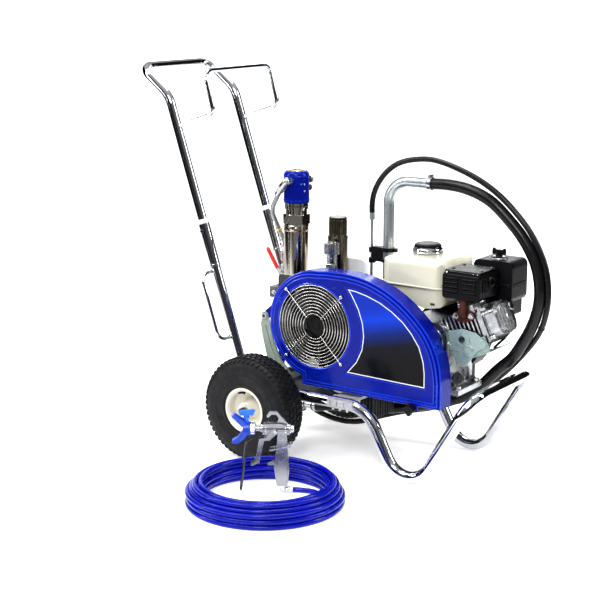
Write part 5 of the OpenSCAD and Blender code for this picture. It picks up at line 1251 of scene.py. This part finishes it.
# ------------------------------------------------------------------ gun
GU = Matrix.Translation(Vector((197, -402, 0))) @ Matrix.Rotation(math.radians(212), 4, "Z")
m_ = Mesh().mat("dark_steel").at(GU)
m_.tube(bent_path([(40, 0, 157), (88, 0, 134), (103.7, 0, 6.5)], [14]), 3.7, 18)
piece(m_, "gun_guard_rod_skin", "gun", "dark_steel", bevel=0)
m_ = Mesh().mat("zinc").at(GU)
m_.lathe([(12.9, 0), (11, 1.6), (9, 2), (9, 8), (8, 9), (4, 9), (3.4, 7.4), (0.01, 7.4)], (-20, 0, 166), (-1, 0, 0), 40)
for s in (-1, 1):
    m_.lathe([(5.2, 0), (5.2, 1.6), (4.2, 2.6), (0.01, 2.8)], (16, s * 15.8, 162), (0, s, 0), 24)
m_.lathe([(13.1, 0), (13.8, 1), (13.8, 4), (13.1, 5)], (-12, 0, 166), (1, 0, 0), 48, closed=True)
m_.lathe([(13.1, 0), (13.8, 1), (13.8, 3), (13.1, 4)], (38, 0, 166), (1, 0, 0), 48, closed=True)
m_.lathe([(8.1, 0), (10.4, 0), (10.4, 6), (9.4, 7), (8.1, 7)], (-1, 0, 13.6), (0, 0, 1), 6)
piece(m_, "gun_fittings", "gun", "bright_rod", bevel=0.2)
m_ = Mesh().mat("gun_alu").at(GU)
for i in range(7):
    z = 34 + i * 9
    m_.box(-15.6 + 0.0 * i, -12.0, -8.6, 8.6, z, z + 3.2)
m_.prism([(-12, 30), (11, 30), (14, 64), (10, 104), (7, 140), (-7, 140), (-11, 104), (-14, 64)], -10.9, 10.9)
piece(m_, "gun_grip_relief", "gun", "gun_casting", bevel=0.9)
m_ = Mesh().mat("zinc").at(GU)
m_.lathe([(14.2, 0.2), (15.4, 1.0), (15.4, 11.0), (14.2, 11.8)], (66.6, 0, 166), (1, 0, 0), 6, closed=True)
piece(m_, "gun_tip_nut", "tip_guard", "zinc", bevel=0.5)
m_ = Mesh().mat("blue_plastic").at(GU)
m_.lathe([(16, 0), (17.2, 1.2), (17.2, 3.4), (16, 4.6)], (79, 0, 166), (1, 0, 0), 48, closed=True)
for k in range(20):
    a = 2 * math.pi * k / 20
    m_.tube([(84, 16.1 * math.cos(a), 166 + 16.1 * math.sin(a)), (95, 16.1 * math.cos(a), 166 + 16.1 * math.sin(a))], 1.0, 6)
piece(m_, "tip_guard_grip", "tip_guard", "blue_plastic", bevel=0)
m_ = Mesh().mat("tip_blue").at(GU)
m_.tube([(70, 0, 213.4), (86, 0, 212.4), (102, 0, 210.2)], 2.2, 14)
m_.lathe([(5.4, 0), (7.2, 0.8), (7.2, 4.4), (5.4, 5.2)], (88, 0, 193), (0, 0, 1), 32, closed=True)
piece(m_, "spray_tip_collar", "spray_tip", "tip_plastic", bevel=0)

# ------------------------------------------------------------------ handle and frame fittings
def up_x(z):
    return -131 - (z - 248) / 3.0


m_ = Mesh().mat("zinc_tube")
for s in (-1, 1):
    for z in (300, 474):
        m_.lathe([(4.8, -2), (6.6, -1.6), (6.2, 1.2), (4.8, 2.6)], (up_x(z), s * (145 + 15.6), z), (0, s, 0), 28)
    m_.lathe([(15.7, 0), (17.0, 0.8), (17.0, 4.2), (15.7, 5)], (up_x(486), s * 145, 486), (-0.31623, 0, 0.94868), 48, closed=True)
piece(m_, "upright_weld_rings", "cart", "zinc_tube", bevel=0)
m_ = Mesh().mat("dark_steel")
for s in (-1, 1):
    c = Vector((up_x(580), s * 163.2, 580))
    m_.lathe([(5.4, -4), (5.4, -1.8), (4.4, -1.2), (4.1, -3)], c, (0, s, 0), 24)
piece(m_, "spring_button_eyelets", "cart", "dark_steel", bevel=0)


# ------------------------------------------------------------------ floor, backdrop and light
def stage_mesh():
    """a white sweep: floor, curve and wall behind the object, with a darker floor on the camera's side"""
    f = Vector((-math.sin(A_), math.cos(A_), 0))
    r = Vector((math.cos(A_), math.sin(A_), 0))
    prof = [(-9.0, 0), (-2.4, 0), (-1.0, 0), (0, 0), (1, 0), (3, 0), (6, 0)]
    for i in range(1, 13):
        a = math.pi / 2 * i / 12
        prof.append((6 + 2.2 * math.sin(a), 2.2 - 2.2 * math.cos(a)))
    prof.append((8.2, 6.0))
    vs, fs = [], []
    for t, z in prof:
        for k in (-7.5, -2.5, 0, 2.5, 7.5):
            vs.append(f * t + r * k + Vector((0, 0, z)))
    for i in range(len(prof) - 1):
        for k in range(4):
            fs.append((i * 5 + k, i * 5 + k + 1, i * 5 + k + 6, i * 5 + k + 5))
    me = bpy.data.meshes.new("floor")
    me.from_pydata([tuple(q) for q in vs], [], fs)
    for q in me.polygons:
        q.use_smooth = True
    ob = bpy.data.objects.new("floor", me)
    bpy.context.scene.collection.objects.link(ob)
    mt, nt, bs = new_mat("floor_white")
    tc = nt.nodes.new("ShaderNodeTexCoord")
    sp = nt.nodes.new("ShaderNodeSeparateXYZ")
    nt.links.new(tc.outputs["Object"], sp.inputs[0])
    mx = nt.nodes.new("ShaderNodeMath"); mx.operation = "MULTIPLY"; mx.inputs[1].default_value = -math.sin(A_)
    my = nt.nodes.new("ShaderNodeMath"); my.operation = "MULTIPLY_ADD"; my.inputs[1].default_value = math.cos(A_)
    nt.links.new(sp.outputs["X"], mx.inputs[0])
    nt.links.new(sp.outputs["Y"], my.inputs[0]); nt.links.new(mx.outputs[0], my.inputs[2])
    near = maprange(nt, my.outputs[0], 0.0, 1.0, -1.75, -1.0)
    n1 = maprange(nt, tex_noise(nt, coords(nt), 1.5, 3), 0, 1)
    white = mix_col(nt, n1, (0.86, 0.865, 0.87), (0.89, 0.89, 0.895))
    col = mix_col(nt, near, (0.16, 0.16, 0.165), white)
    nt.links.new(col, bs.inputs["Base Color"])
    bs.inputs["Roughness"].default_value = 0.6
    bs.inputs["Specular IOR Level"].default_value = 0.15
    bs.inputs["Emission Color"].default_value = (1.0, 1.0, 1.0, 1)
    up = maprange(nt, sp.outputs["Z"], 0.0, 1.0, 0.0, 1.6)
    em = nt.nodes.new("ShaderNodeMath"); em.operation = "MULTIPLY_ADD"; em.inputs[1].default_value = 0.30
    em0 = nt.nodes.new("ShaderNodeMath"); em0.operation = "MULTIPLY"; em0.inputs[1].default_value = FLOOR_GLOW
    nt.links.new(near, em0.inputs[0])
    nt.links.new(up, em.inputs[0]); nt.links.new(em0.outputs[0], em.inputs[2])
    nt.links.new(em.outputs[0], bs.inputs["Emission Strength"])
    me.materials.append(mt)
    return ob


FLOOR_GLOW = 0.40
stage_mesh()


def flag(name, loc, target, w_, h_):
    """a black card out of view, that gives the plated tubes their dark lines"""
    me = bpy.data.meshes.new(name)
    me.from_pydata([(-w_ / 2, -h_ / 2, 0), (w_ / 2, -h_ / 2, 0), (w_ / 2, h_ / 2, 0), (-w_ / 2, h_ / 2, 0)], [], [(0, 1, 2, 3)])
    ob = bpy.data.objects.new(name, me)
    bpy.context.scene.collection.objects.link(ob)
    mt, nt, bs = new_mat(name + "_black")
    nt.links.new(mix_col(nt, tex_noise(nt, coords(nt), 3, 2), (0.004, 0.004, 0.004), (0.008, 0.008, 0.008)), bs.inputs["Base Color"])
    bs.inputs["Roughness"].default_value = 0.9
    bs.inputs["Specular IOR Level"].default_value = 0.1
    me.materials.append(mt)
    ob.location = loc
    ob.rotation_mode = "QUATERNION"
    ob.rotation_quaternion = (Vector(target) - Vector(loc)).to_track_quat("Z", "Y")
    return ob


def area(name, loc, target, size, power, color=(1, 1, 1), shape="RECTANGLE", sy=None):
    l = bpy.data.lights.new(name, "AREA")
    l.shape = shape
    l.size = size
    if shape == "RECTANGLE":
        l.size_y = sy or size
    l.energy = power
    l.color = color
    o = bpy.data.objects.new(name, l)
    bpy.context.scene.collection.objects.link(o)
    o.location = loc
    o.rotation_mode = "QUATERNION"
    o.rotation_quaternion = (Vector(target) - Vector(loc)).to_track_quat("-Z", "Y")
    return o


tgt = (0.0, 0.0, 0.45)
vF = Vector((-math.sin(A_), math.cos(A_), 0))
vR = Vector((math.cos(A_), math.sin(A_), 0))


def vp(right, away, z):
    """a place given to the right of the view's axis, away from the camera, and up"""
    q = vR * right + vF * away
    return (q.x, q.y, z)


area("key", vp(-0.6, -3.3, 2.9), tgt, 1.0, 62, sy=1.2)
area("right_strip", vp(2.05, -0.35, 1.5), tgt, 0.30, 34, sy=2.2)
area("left_strip", vp(-2.05, -0.15, 1.4), tgt, 0.30, 30, sy=2.2)
area("top", vp(0.2, 0.5, 3.4), tgt, 1.3, 36, sy=0.9)
area("back", vp(0.4, 3.6, 2.6), tgt, 1.4, 24, sy=1.0)
for nm, sx in (("flag_right", 1), ("flag_left", -1)):
    flag(nm, vp(sx * 2.35, 1.0, 1.45), vp(0, 1.0, 1.45), 4.4, 2.9)
    flag(nm + "_front", vp(sx * 1.75, -2.3, 0.8), vp(0, -0.4, 0.6), 0.55, 1.6)
sun = bpy.data.lights.new("fill_sun", "SUN")
sun.energy = 1.35
sun.angle = math.radians(30)
sun_ob = bpy.data.objects.new("fill_sun", sun)
bpy.context.scene.collection.objects.link(sun_ob)
sun_ob.rotation_mode = "QUATERNION"
sun_ob.rotation_quaternion = Vector((0.35, 0.55, -1.0)).to_track_quat("-Z", "Y")

w = bpy.data.worlds.new("studio")
bpy.context.scene.world = w
w.use_nodes = True
nt = w.node_tree
bg = nt.nodes["Background"]
tc = nt.nodes.new("ShaderNodeTexCoord")
sep = nt.nodes.new("ShaderNodeSeparateXYZ")
nt.links.new(tc.outputs["Generated"], sep.inputs[0])
rp = nt.nodes.new("ShaderNodeValToRGB")
el = rp.color_ramp.elements
el[0].position, el[0].color = 0.0, (0.10, 0.10, 0.105, 1)
el[1].position, el[1].color = 1.0, (1.0, 1.0, 1.0, 1)
for p, c in ((0.50, (0.10, 0.10, 0.105, 1)), (0.62, (0.10, 0.10, 0.105, 1)), (0.72, (0.50, 0.51, 0.53, 1)), (0.84, (0.72, 0.73, 0.75, 1))):
    e = el.new(p); e.color = c
mr = nt.nodes.new("ShaderNodeMapRange")
mr.inputs["From Min"].default_value, mr.inputs["From Max"].default_value = -1, 1
nt.links.new(sep.outputs["Z"], mr.inputs["Value"])
nt.links.new(mr.outputs["Result"], rp.inputs["Fac"])
nt.links.new(rp.outputs["Color"], bg.inputs["Color"])
bg.inputs["Strength"].default_value = 0.62
bpy.context.scene.view_settings.view_transform = "Standard"
bpy.context.scene.view_settings.look = "Medium High Contrast"
